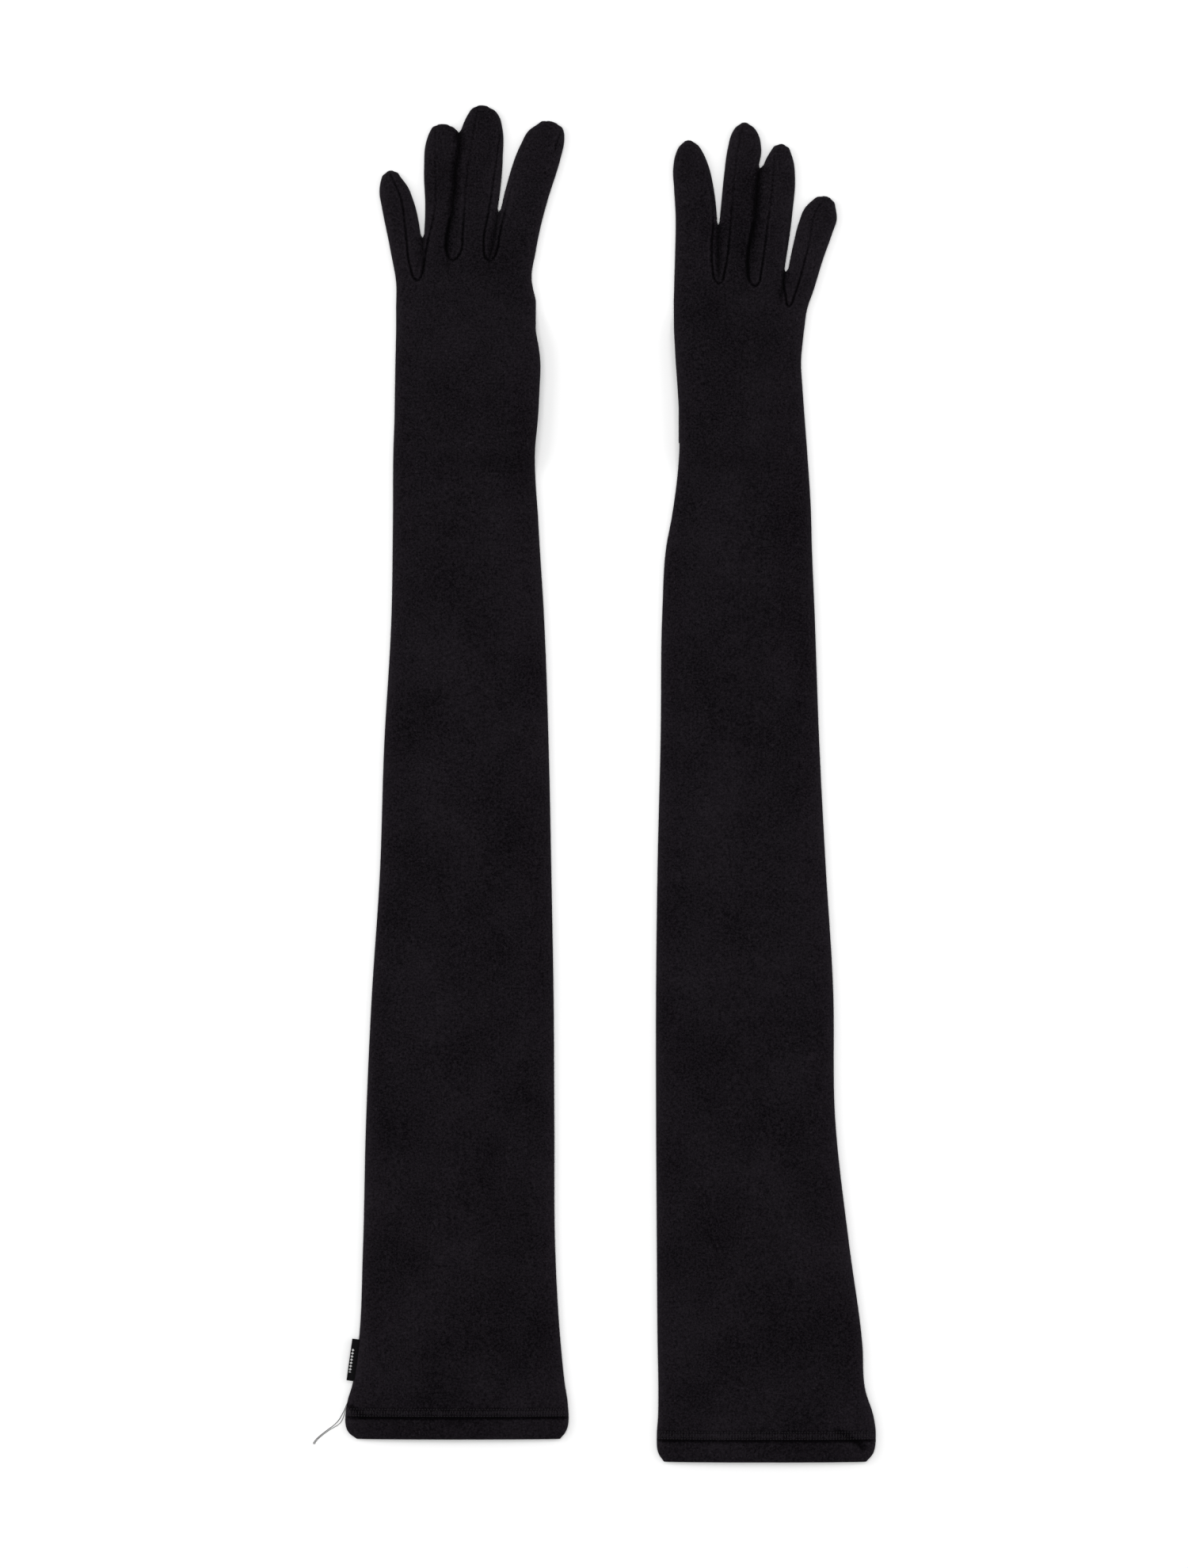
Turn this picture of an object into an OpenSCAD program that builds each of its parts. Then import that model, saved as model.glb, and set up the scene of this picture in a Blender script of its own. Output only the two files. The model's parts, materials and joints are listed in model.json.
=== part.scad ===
// A pair of long opera gloves in thin black knit, lying flat side by side.
// The backs of the hands face up, the fingers point along +Y, and the thumbs fold under the palms.
// The left glove lies on the -X side. Each glove is drawn in a frame of its own with the little finger
// towards -X, so the right glove is drawn that way too and then mirrored.

/* [Glove] */
// Length of one glove from the hem to the tip of the middle finger
glove_l = 700; // [640:10:740]
// Extra distance between the two gloves
spread = 0; // [0:5:40]
// Height of a sleeve as it lies, slightly puffed
lie_h = 7; // [6.4:0.2:8]
// Thickness of the knit cloth
cloth_t = 0.7; // [0.5:0.1:0.8]

/* [Thumb] */
// Height of the folded thumb under the palm
thumb_h = 5.9; // [5.7:0.1:6.2]
// Height of the palm side above the table where it lies over the thumb
palm_lift = 6.4; // [6.3:0.1:6.8]
// Height of the back of the hand over the thumb
hand_top = 13; // [12.4:0.2:14]

/* [Hem] */
// Depth of the turned hem
hem_depth = 16; // [12:1:18]
// Distance between the two rows of hem stitching
row_gap = 3.6; // [3:0.2:5]
// Width of a stitched row
row_w = 1; // [0.8:0.1:1.4]
// How far the thread stands up from the cloth
thread_h = 0.4; // [0.3:0.1:0.5]

/* [Labels] */
// Length of the folded flag label along the side seam
flag_l = 22; // [16:1:26]
// How far the flag label stands out from the seam
flag_w = 2.8; // [2.4:0.2:4]
// Thickness of a folded label
label_t = 0.6; // [0.4:0.1:0.8]

/* [Folds] */
// Height at which the sleeve folds over at the elbow
elbow_z = 7.5; // [7.4:0.1:8]
// Half the gap between two parts of a glove that fold against each other
fold_gap = 0.3; // [0.3:0.05:0.5]
// Slope of the cut at the wrist fold, for a fold of 80 degrees either way
wrist_cut = 0.86; // [0.84:0.01:0.95]
// Slope of the cut under a finger, for a bend of 90 degrees towards the palm
palm_cut = 1.02; // [1:0.01:1.1]
// Slope of the cut over a finger, for a bend of 60 degrees towards the back
back_cut = 0.6; // [0.58:0.01:0.7]

/* [Hidden] */

KNIT = "#1b191c";
FACING = "#242127";
SEAM = "#2c2930";
THREAD = "#3a373d";

k = glove_l / 700;
elbow_y = -100;
wrist_y = 155;

// Sides of a glove, hem to knuckles: [y, x of the little-finger edge, x of the index edge].
LEFT_SIDES = [
    [-344, -134, -27], [-341, -138, -24.4], [-325, -139, -23], [-316, -136.4, -24.4],
    [-295, -133.2, -26.6], [-246, -130.8, -29.5], [-180, -129.2, -30], [-113, -126.2, -30.4],
    [-46, -121.8, -31.6], [20, -119.6, -33], [87, -115.8, -35.4], [137, -115, -38.4],
    [170, -115, -40.8], [187, -114.2, -38.6], [220, -113.8, -37], [240, -113, -40.2],
    [262, -113.6, -41.6]
];
RIGHT_SIDES = [
    [-356, -134, -27.5], [-352, -137.4, -24.8], [-342, -139, -23.8], [-333, -138, -24.4],
    [-318, -133.4, -24.6], [-295, -132, -24.2], [-242, -125, -23.8], [-175, -117.6, -23.4],
    [-108, -116.6, -23.4], [-42, -112.6, -24.2], [24, -109.2, -25.8], [91, -106.8, -26.7],
    [125, -105.4, -28.8], [141, -105, -31.8], [158, -104.2, -35.6], [208, -100.4, -35.4],
    [225, -99.6, -33], [249, -102.6, -32.4], [266, -106, -32]
];

// Knuckle line, where the fingers join the hand, from the little-finger side to the index side.
LEFT_KNUCKLES = [[-113.6, 259.6], [-99, 262.6], [-86, 266], [-64.6, 268.8], [-41.6, 264.4]];
RIGHT_KNUCKLES = [[-102.8, 248], [-88.8, 252.4], [-71.8, 261.6], [-56.4, 264.4], [-32.2, 264.4]];

// Fingers, each along an axis of its own: [root x, root y, lean towards the index side,
// stations of [distance from the root, little-finger side, index side]].
LEFT_LITTLE = [-106.3, 263, -11.3, [[0, -7, 7.5], [20, -6.3, 10.6], [42, -6.3, 10.7],
    [50, -6, 9.2], [56, -4, 6.4], [59.5, -0.4, 3.4]]];
LEFT_RING = [-91.5, 267, 2, [[0, -6.9, 5.4], [16, -7.7, 4.2], [36, -7.7, 6.3], [56, -9, 7.2],
    [70, -8.4, 9.2], [76, -6.4, 7.6], [79, -3, 3.6]]];
LEFT_MIDDLE = [-74, 270, 4.5, [[0, -11.2, 9], [18, -12.8, 9.9], [32, -11.2, 11.5],
    [60, -11.2, 12.2], [75, -10.3, 10.9], [82, -7.6, 8.4], [86, -3.6, 2.8]]];
LEFT_INDEX = [-50.5, 268, 17, [[0, -14, 8.8], [14, -15, 6.8], [28, -17, 5.4], [42, -18, 4.9],
    [66, -17.2, 4.9], [74, -15.4, 4.2], [79, -11.6, 2.4], [81.4, -8, -1.4]]];
RIGHT_LITTLE = [-95, 252, -18, [[0, -8.3, 6.2], [10, -8.4, 7.2], [28, -8.1, 9], [42, -8.5, 10],
    [50, -8.4, 9.4], [55.6, -5.8, 6.6], [58.8, -2.4, 2.6]]];
RIGHT_RING = [-82, 262, -7.5, [[0, -7.4, 9.8], [15, -7.9, 11.9], [24, -8.1, 10.7], [40, -8, 10.9],
    [58, -7, 11], [66, -5.2, 9.3], [71, -2.9, 7.1], [74, 0.4, 4]]];
RIGHT_MIDDLE = [-66, 265, -1, [[0, -5.2, 9.2], [14, -5.4, 9.8], [24, -7.5, 10], [40, -8.8, 9],
    [56, -9.6, 7.7], [69, -11.5, 6.1], [77, -9.6, 4], [82, -4.4, -0.6]]];
RIGHT_INDEX = [-44, 266, 5, [[0, -12, 11], [14, -13, 9.4], [34, -14.2, 7.4], [48, -13.6, 7],
    [58, -12.1, 6.6], [66, -9.4, 4.4], [71.6, -4.6, -0.4]]];

// Thumb, lying under the palm: ends of each cross-section measured from its fold line's middle.
LEFT_THUMB_ROOT = [-42, 206];
RIGHT_THUMB_ROOT = [-37, 202];
THUMB = [
    [[-0.6, -25], [-0.6, 25]], [[-10, -12], [-5, 32]], [[-20, 2], [-10, 38]],
    [[-28.6, 16], [-16, 43]], [[-33, 28], [-22, 45.4]], [[-33.5, 36], [-27.5, 45]],
    [[-32.6, 39.2], [-30.4, 43.2]]
];

// Two loose ends of sewing thread at the hem corner of the left glove, 31 mm of each.
TAIL_A = [
    [-137.8, -322.6, 1.6], [-138.5, -324.4, 1.3], [-139.3, -326.2, 0.8], [-140.1, -328.1, 0.3],
    [-140.9, -329.9, 0.2], [-141.8, -331.7, 0.2], [-142.8, -333.5, 0.2], [-144, -335.2, 0.2],
    [-145.5, -336.7, 0.2], [-147.1, -338, 0.2], [-148.8, -339.2, 0.2], [-150.4, -340.4, 0.2],
    [-152, -341.6, 0.2], [-153.6, -342.9, 0.2], [-155.1, -344.3, 0.2], [-156.4, -345.9, 0.2],
    [-156.9, -347, 0.2]
];
TAIL_B = [
    [-138.3, -323.4, 2.2], [-138.7, -325.1, 1.9], [-139.2, -327, 1.2], [-139.8, -328.9, 0.6],
    [-140.4, -330.8, 0.2], [-141, -332.7, 0.2], [-141.7, -334.5, 0.2], [-142.8, -336.1, 0.2],
    [-144.3, -337.3, 0.2], [-146, -338.3, 0.2], [-147.8, -339.3, 0.2], [-149.5, -340.5, 0.2],
    [-151.2, -341.7, 0.2], [-152.8, -343, 0.2], [-154.4, -344.4, 0.2], [-155.7, -346, 0.2],
    [-156.2, -347.1, 0.2]
];
tail_a_d = 0.36;
tail_b_d = 0.3;

function unit(p) = p / norm(p);
function mix(p, q, t) = p + (q - p) * t;

// Edge of a side table at a height y along the glove.
function edge(sides, y, column) = lookup(y, [for (s = sides) [s[0], s[column]]]);
function left_edge(sides, y) = [edge(sides, y, 1), y];
function right_edge(sides, y) = [edge(sides, y, 2), y];

// Largest share of a cross-section's width that one rounded edge takes up.
corner_share = 0.42;
// Half the width left open at the solid tip of a finger.
tip_open = 0.15;

// One cross-section of a flattened tube from edge point a to edge point b, as a loop of points that
// starts at the middle of side a and runs over the top. zl and zr are the undersides at the two
// edges, zt is the top, w is how far the loop lies inside the outer face, cut_top and cut_low slope
// the end for a fold, and top and low hold the points between the corners as
// [fraction from a to b, shift in x and y, underside there].
function loop(a, b, zl, zr, zt, w, cut_top, cut_low, between) =
    let (
        u = unit(b - a), v = [-u.y, u.x], most = norm(b - a) * corner_share,
        rl = min((zt - zl) / 2, most), rr = min((zt - zr) / 2, most),
        ml = (zt + zl) / 2, mr = (zt + zr) / 2,
        ca = a + u * rl, cb = b - u * rr, sl = rl - w, sr = rr - w,
        put = function (c, r, m, q) [c.x + u.x * r * cos(q), c.y + u.y * r * cos(q), m + r * sin(q)],
        span = function (f, shift, z) [mix(ca.x, cb.x, f) + shift.x, mix(ca.y, cb.y, f) + shift.y, z],
        flat = concat(
            [put(ca, sl, ml, 180), put(ca, sl, ml, 135), put(ca, sl, ml, 90)],
            [for (p = between) span(p[0], p[1], mix(ml + sl, mr + sr, p[0]))],
            [put(cb, sr, mr, 90), put(cb, sr, mr, 45), put(cb, sr, mr, 0), put(cb, sr, mr, -45),
             put(cb, sr, mr, -90)],
            [for (i = [len(between) - 1:-1:0]) span(between[i][0], between[i][1],
                max(mix(ml - sl, mr - sr, between[i][0]), between[i][2] + w))],
            [put(ca, sl, ml, -90), put(ca, sl, ml, -135)]),
        mid = (ml + mr) / 2
    )
    [for (p = flat) let (h = p.z - mid, s = h > 0 ? h * cut_top : -h * cut_low)
        [p.x + v.x * s, p.y + v.y * s, p.z]];

PLAIN = [[0.5, [0, 0], 0]];
PLAIN_N = 12;

// Cloth between two matching grids of points, rows of loops. Columns run from j0 to j1 and wrap
// round the loop; skip(i, j) leaves a cell out. Borders are closed, so the cloth is one solid.
module cloth(outer, inner, j0, j1, skip = function (i, j) false) {
    n = len(outer[0]);
    rows = len(outer);
    whole = j1 - j0 == n;
    cols = whole ? n : j1 - j0 + 1;
    id = function (side, i, j) side * rows * cols + i * cols + (whole ? j % n : j);
    used = function (i, j) i >= 0 && i < rows - 1 && (whole || (j >= 0 && j < j1 - j0))
        && !skip(i, (j0 + j + n) % n);
    quad = function (p, q, r, s) [[p, q, r], [p, r, s]];
    faces = [
        for (i = [0:rows - 2], j = [0:j1 - j0 - 1]) if (used(i, j))
            each concat(
                quad(id(0, i, j), id(0, i + 1, j), id(0, i + 1, j + 1), id(0, i, j + 1)),
                quad(id(1, i, j), id(1, i, j + 1), id(1, i + 1, j + 1), id(1, i + 1, j)),
                used(i - 1, j) ? [] : quad(id(0, i, j), id(0, i, j + 1), id(1, i, j + 1), id(1, i, j)),
                used(i + 1, j) ? [] : quad(id(0, i + 1, j), id(1, i + 1, j),
                    id(1, i + 1, j + 1), id(0, i + 1, j + 1)),
                used(i, whole ? (j + n - 1) % n : j - 1) ? []
                    : quad(id(0, i, j), id(1, i, j), id(1, i + 1, j), id(0, i + 1, j)),
                used(i, whole ? (j + 1) % n : j + 1) ? []
                    : quad(id(0, i, j + 1), id(0, i + 1, j + 1), id(1, i + 1, j + 1), id(1, i, j + 1)))
    ];
    points = [for (grid = [outer, inner], row = grid, j = [j0:whole ? j1 - 1 : j1]) row[j % n]];
    polyhedron(points, faces, convexity = 6);
}

// Rows of loops for a straight stretch of sleeve between the heights in ys.
function sleeve_rows(sides, ys, w, cut_first = 0, cut_last = 0) =
    [for (i = [0:len(ys) - 1])
        let (cut = i == 0 ? cut_first : i == len(ys) - 1 ? -cut_last : 0)
        loop(left_edge(sides, ys[i]) * k, right_edge(sides, ys[i]) * k, 0, 0, lie_h, w, cut, cut,
            PLAIN)];

// The wrap of a sleeve leaves out the two columns at the little-finger edge, which its seam fills.
SEAM_FROM = PLAIN_N - 1;
SEAM_TO = PLAIN_N + 1;

function upper_ys(sides) = concat([for (s = sides) if (s[0] < elbow_y - 5) s[0]],
    [elbow_y - fold_gap / k]);
function forearm_ys(sides) = concat([elbow_y + fold_gap / k],
    [for (s = sides) if (s[0] > elbow_y + 5 && s[0] < wrist_y - 10) s[0]],
    [wrist_y - fold_gap / k]);

module upper_sleeve(sides) {
    ys = upper_ys(sides);
    color(KNIT) cloth(sleeve_rows(sides, ys, 0), sleeve_rows(sides, ys, cloth_t), 1, SEAM_FROM);
}

module upper_seam(sides) {
    ys = upper_ys(sides);
    color(SEAM) cloth(sleeve_rows(sides, ys, 0), sleeve_rows(sides, ys, cloth_t), SEAM_FROM, SEAM_TO);
}

// The hem's turning, a second layer of cloth just inside the mouth of the sleeve.
facing_t = 0.5;
module hem_facing(sides) {
    top = sides[0][0] + hem_depth;
    ys = concat([for (s = sides) if (s[0] < top - 1) s[0]], [top]);
    color(FACING) cloth(sleeve_rows(sides, ys, cloth_t), sleeve_rows(sides, ys, cloth_t + facing_t),
        0, PLAIN_N);
}

// Two rows of stitching across the back of the hem, where the turned edge is caught.
module hem_stitching(sides) {
    y0 = sides[0][0] + hem_depth;
    color(THREAD) for (r = [0, 1]) {
        y = y0 + (r - 0.5) * row_gap;
        a = edge(sides, y, 1) * k + lie_h / 2;
        b = edge(sides, y, 2) * k - lie_h / 2;
        translate([a, y * k - row_w / 2, lie_h]) cube([b - a, row_w, thread_h]);
    }
}

module forearm(sides) {
    ys = forearm_ys(sides);
    color(KNIT) cloth(sleeve_rows(sides, ys, 0, 0, wrist_cut),
        sleeve_rows(sides, ys, cloth_t, 0, wrist_cut), 1, SEAM_FROM);
}

module forearm_seam(sides) {
    ys = forearm_ys(sides);
    color(SEAM) cloth(sleeve_rows(sides, ys, 0, 0, wrist_cut),
        sleeve_rows(sides, ys, cloth_t, 0, wrist_cut), SEAM_FROM, SEAM_TO);
}

// The hand, from the wrist fold to the knuckle line. Stations are
// [fraction of the way, top, underside at the index edge].
HAND = [
    [0, lie_h, 0], [0.09, lie_h + 0.6, 0.4], [0.19, hand_top, palm_lift],
    [0.36, hand_top, palm_lift], [0.6, hand_top, palm_lift], [0.74, hand_top, palm_lift],
    [0.92, hand_top - 0.4, palm_lift], [1, lie_h, 0]
];
HAND_N = 16;
// Where the points between the corners lie across the hand, from the little-finger side.
HAND_MID = [0.2, 0.34, 0.7];
// The rows and columns of the hand that the thumb gusset fills.
GUSSET_ROWS = [2, 4];
GUSSET_FROM = 8;
GUSSET_TO = 11;

function hand_rows(sides, knuckles, w) =
    [for (i = [0:len(HAND) - 1])
        let (
            t = HAND[i][0], zt = HAND[i][1], zr = HAND[i][2],
            y0 = wrist_y + fold_gap / k,
            ya = mix(y0, knuckles[0].y, t), yb = mix(y0, knuckles[4].y, t),
            a = left_edge(sides, ya), b = right_edge(sides, yb),
            between = [for (m = [0:2]) let (f = HAND_MID[m])
                [f, (knuckles[m + 1] - mix(knuckles[0], knuckles[4], f)) * t * k, m == 0 ? 0 : zr]],
            cut = i == 0 ? wrist_cut : 0)
        loop(a * k, b * k, 0, zr, zt, w, i == len(HAND) - 1 ? -back_cut : cut,
            i == len(HAND) - 1 ? -palm_cut : cut,
            between)];

in_gusset = function (i, j) i >= GUSSET_ROWS[0] && i < GUSSET_ROWS[1]
    && j >= GUSSET_FROM && j < GUSSET_TO;

module hand(sides, knuckles) {
    color(KNIT) cloth(hand_rows(sides, knuckles, 0), hand_rows(sides, knuckles, cloth_t),
        1, HAND_N - 1, in_gusset);
}

module hand_seam(sides, knuckles) {
    color(SEAM) cloth(hand_rows(sides, knuckles, 0), hand_rows(sides, knuckles, cloth_t),
        HAND_N - 1, HAND_N + 1);
}

module thumb_gusset(sides, knuckles) {
    color(FACING) cloth(hand_rows(sides, knuckles, 0), hand_rows(sides, knuckles, cloth_t),
        GUSSET_FROM, GUSSET_TO, function (i, j) !in_gusset(i, j));
}

// Forks of the fourchettes, standing across the hand between one finger's mouth and the next.
web_l = 3;
web_h = 2.6;
web_setback = 1.8;
module finger_webs(knuckles) {
    color(FACING) for (m = [1:3])
        translate([knuckles[m].x * k - cloth_t / 2, knuckles[m].y * k - web_setback - web_l,
            lie_h - cloth_t * 2 - web_h])
            cube([cloth_t, web_l, web_h]);
}

module thumb(root) {
    last = len(THUMB) - 1;
    rows = function (w) [for (i = [0:last])
        let (closing = i == last && w > 0,
             a = (root + THUMB[closing ? i - 1 : i][0]) * k,
             b = (root + THUMB[closing ? i - 1 : i][1]) * k,
             tip_a = (root + THUMB[last][0]) * k, tip_b = (root + THUMB[last][1]) * k)
        closing ? loop(tip_a, tip_b, 0, 0, thumb_h,
                norm(tip_b - tip_a) * corner_share - tip_open, 0, 0, PLAIN)
            : loop(a, b, 0, 0, thumb_h, w, 0, 0, PLAIN)];
    color(KNIT) cloth(rows(0), rows(cloth_t), 0, PLAIN_N);
}

// Rows of loops along a finger. The last inner loop closes in, so the tip is solid cloth.
function finger_rows(finger, w) =
    let (root = [finger[0], finger[1]], lean = finger[2], stations = finger[3],
         u = [cos(lean), -sin(lean)], v = [sin(lean), cos(lean)], last = len(stations) - 1)
    [for (i = [0:last])
        let (s = stations[i], on = i == 0 ? fold_gap / k : s[0],
             a = (root + v * on + u * s[1]) * k, b = (root + v * on + u * s[2]) * k,
             inset = i == last && w > 0 ? norm(b - a) * corner_share - tip_open : w)
        loop(a, b, 0, 0, lie_h, inset, i == 0 ? back_cut : 0, i == 0 ? palm_cut : 0, PLAIN)];

module finger_part(finger, from, to, paint = KNIT) {
    color(paint) cloth(finger_rows(finger, 0), finger_rows(finger, cloth_t), from, to);
}

// Columns round a finger: back 2 to 4, index side 4 to 8, palm 8 to 10, little-finger side 10 to 14.
module finger_wrap_inner(finger) finger_part(finger, 2, 10);
module finger_wrap_outer(finger) finger_part(finger, 8, 16);
module finger_back(finger) finger_part(finger, 2, 4);
module finger_palm(finger) finger_part(finger, 8, 10);
module fourchette_inner(finger) finger_part(finger, 4, 8, FACING);
module fourchette_outer(finger) finger_part(finger, 10, 14, FACING);

// A woven flag label folded double, sewn into the little-finger side seam of the left glove.
flag_y = -302.5;
flag_lean = -8;
flag_gap = 0.5;
module flag_label() {
    y = flag_y * k;
    color(THREAD) translate([edge(LEFT_SIDES, flag_y, 1) * k - flag_gap, y, lie_h / 2 - label_t / 2])
        rotate([0, 0, flag_lean]) translate([-flag_w, -flag_l / 2, 0]) cube([flag_w, flag_l, label_t]);
}

// A plain care label inside the left sleeve, beside the same seam.
care_w = 18;
care_l = 36;
care_t = 0.3;
module care_label() {
    color(SEAM) translate([edge(LEFT_SIDES, -295, 1) * k + lie_h, -310 * k, cloth_t])
        cube([care_w, care_l, care_t]);
}

// A thin tube swept along the points of a route.
module tube(route, d, sides = 8) {
    last = len(route) - 1;
    heading = function (i) unit(route[min(i + 1, last)] - route[max(i - 1, 0)]);
    ring = function (i) let (t = heading(i), right = unit(cross(t, [0, 0, 1])), up = cross(right, t))
        [for (s = [0:sides - 1]) let (q = 360 * s / sides)
            route[i] + (right * cos(q) + up * sin(q)) * d / 2];
    points = [for (i = [0:last]) each ring(i)];
    faces = concat(
        [[for (s = [sides - 1:-1:0]) s], [for (s = [0:sides - 1]) last * sides + s]],
        [for (i = [0:last - 1], s = [0:sides - 1]) let (t = (s + 1) % sides)
            each [[i * sides + s, i * sides + t, (i + 1) * sides + t],
                  [i * sides + s, (i + 1) * sides + t, (i + 1) * sides + s]]]);
    polyhedron(points, faces, convexity = 4);
}

module thread_tail_a() color(THREAD) tube(TAIL_A, tail_a_d);
module thread_tail_b() color(THREAD) tube(TAIL_B, tail_b_d);

// One glove, in its own frame. part is the node's name without its side.
module glove_part(part, sides, knuckles, thumb_root, index, middle, ring, little) {
    if (part == "upper_sleeve") upper_sleeve(sides);
    if (part == "upper_seam") upper_seam(sides);
    if (part == "hem_facing") hem_facing(sides);
    if (part == "hem_stitching") hem_stitching(sides);
    if (part == "forearm") forearm(sides);
    if (part == "forearm_seam") forearm_seam(sides);
    if (part == "hand") hand(sides, knuckles);
    if (part == "hand_seam") hand_seam(sides, knuckles);
    if (part == "thumb_gusset") thumb_gusset(sides, knuckles);
    if (part == "finger_webs") finger_webs(knuckles);
    if (part == "thumb") thumb(thumb_root);
    if (part == "index") finger_wrap_inner(index);
    if (part == "index_fourchette") fourchette_outer(index);
    if (part == "middle_back") finger_back(middle);
    if (part == "middle_palm") finger_palm(middle);
    if (part == "middle_fourchette_inner") fourchette_inner(middle);
    if (part == "middle_fourchette_outer") fourchette_outer(middle);
    if (part == "ring_back") finger_back(ring);
    if (part == "ring_palm") finger_palm(ring);
    if (part == "ring_fourchette_inner") fourchette_inner(ring);
    if (part == "ring_fourchette_outer") fourchette_outer(ring);
    if (part == "little") finger_wrap_outer(little);
    if (part == "little_fourchette") fourchette_inner(little);
}

module left_glove(part) translate([-spread / 2, 0, 0])
    glove_part(part, LEFT_SIDES, LEFT_KNUCKLES, LEFT_THUMB_ROOT,
        LEFT_INDEX, LEFT_MIDDLE, LEFT_RING, LEFT_LITTLE);

module right_glove(part) translate([spread / 2, 0, 0]) mirror([1, 0, 0])
    glove_part(part, RIGHT_SIDES, RIGHT_KNUCKLES, RIGHT_THUMB_ROOT,
        RIGHT_INDEX, RIGHT_MIDDLE, RIGHT_RING, RIGHT_LITTLE);

left_glove("upper_sleeve");  // left_upper_sleeve
left_glove("upper_seam");  // left_upper_seam
left_glove("hem_facing");  // left_hem_facing
left_glove("hem_stitching");  // left_hem_stitching
left_glove("forearm");  // left_forearm
left_glove("forearm_seam");  // left_forearm_seam
left_glove("hand");  // left_hand
left_glove("hand_seam");  // left_hand_seam
left_glove("thumb_gusset");  // left_thumb_gusset
left_glove("finger_webs");  // left_finger_webs
left_glove("thumb");  // left_thumb
left_glove("index");  // left_index
left_glove("index_fourchette");  // left_index_fourchette
left_glove("middle_back");  // left_middle_back
left_glove("middle_palm");  // left_middle_palm
left_glove("middle_fourchette_inner");  // left_middle_fourchette_inner
left_glove("middle_fourchette_outer");  // left_middle_fourchette_outer
left_glove("ring_back");  // left_ring_back
left_glove("ring_palm");  // left_ring_palm
left_glove("ring_fourchette_inner");  // left_ring_fourchette_inner
left_glove("ring_fourchette_outer");  // left_ring_fourchette_outer
left_glove("little");  // left_little
left_glove("little_fourchette");  // left_little_fourchette
right_glove("upper_sleeve");  // right_upper_sleeve
right_glove("upper_seam");  // right_upper_seam
right_glove("hem_facing");  // right_hem_facing
right_glove("hem_stitching");  // right_hem_stitching
right_glove("forearm");  // right_forearm
right_glove("forearm_seam");  // right_forearm_seam
right_glove("hand");  // right_hand
right_glove("hand_seam");  // right_hand_seam
right_glove("thumb_gusset");  // right_thumb_gusset
right_glove("finger_webs");  // right_finger_webs
right_glove("thumb");  // right_thumb
right_glove("index");  // right_index
right_glove("index_fourchette");  // right_index_fourchette
right_glove("middle_back");  // right_middle_back
right_glove("middle_palm");  // right_middle_palm
right_glove("middle_fourchette_inner");  // right_middle_fourchette_inner
right_glove("middle_fourchette_outer");  // right_middle_fourchette_outer
right_glove("ring_back");  // right_ring_back
right_glove("ring_palm");  // right_ring_palm
right_glove("ring_fourchette_inner");  // right_ring_fourchette_inner
right_glove("ring_fourchette_outer");  // right_ring_fourchette_outer
right_glove("little");  // right_little
right_glove("little_fourchette");  // right_little_fourchette
translate([-spread / 2, 0, 0]) flag_label();
translate([-spread / 2, 0, 0]) care_label();
translate([-spread / 2, 0, 0]) thread_tail_a();
translate([-spread / 2, 0, 0]) thread_tail_b();
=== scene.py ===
"""A pair of long black knit opera gloves, laid flat side by side with the backs of the hands up."""

import json
import math

import bpy
import numpy as np
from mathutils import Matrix, Vector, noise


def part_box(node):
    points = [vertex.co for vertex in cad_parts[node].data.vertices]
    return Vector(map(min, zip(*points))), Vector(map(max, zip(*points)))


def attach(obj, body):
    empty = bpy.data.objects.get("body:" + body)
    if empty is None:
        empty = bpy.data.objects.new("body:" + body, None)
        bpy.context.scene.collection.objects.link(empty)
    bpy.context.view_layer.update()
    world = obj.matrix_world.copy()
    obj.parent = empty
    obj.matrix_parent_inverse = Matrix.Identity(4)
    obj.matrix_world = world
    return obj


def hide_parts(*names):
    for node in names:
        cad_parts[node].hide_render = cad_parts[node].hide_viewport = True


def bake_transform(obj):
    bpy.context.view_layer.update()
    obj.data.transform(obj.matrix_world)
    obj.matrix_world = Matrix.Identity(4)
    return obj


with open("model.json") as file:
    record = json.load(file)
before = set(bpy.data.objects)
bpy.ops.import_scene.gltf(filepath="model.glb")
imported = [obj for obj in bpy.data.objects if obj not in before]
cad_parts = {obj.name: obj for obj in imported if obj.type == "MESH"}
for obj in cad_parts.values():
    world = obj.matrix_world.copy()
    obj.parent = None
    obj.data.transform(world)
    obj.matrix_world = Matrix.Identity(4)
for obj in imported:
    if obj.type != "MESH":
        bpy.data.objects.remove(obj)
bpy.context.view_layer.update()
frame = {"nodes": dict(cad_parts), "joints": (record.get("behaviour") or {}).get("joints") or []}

MM = 0.001  # all sizes below are in millimetres

# The table top, the camera over it and the light of a bright white studio tent.
# The camera looks straight down on the middle of the pair.
VIEW_MIDDLE_X = -9.2
VIEW_HEIGHT = 824.6
CAMERA_UP = 2200
SENSOR = 36

camera = bpy.data.objects.new("camera", bpy.data.cameras.new("camera"))
camera.data.sensor_fit = "VERTICAL"
camera.data.sensor_height = SENSOR
camera.data.sensor_width = SENSOR
camera.data.lens = SENSOR * CAMERA_UP / VIEW_HEIGHT
camera.location = (VIEW_MIDDLE_X * MM, 0, CAMERA_UP * MM)
bpy.context.scene.collection.objects.link(camera)
bpy.context.scene.camera = camera


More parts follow.
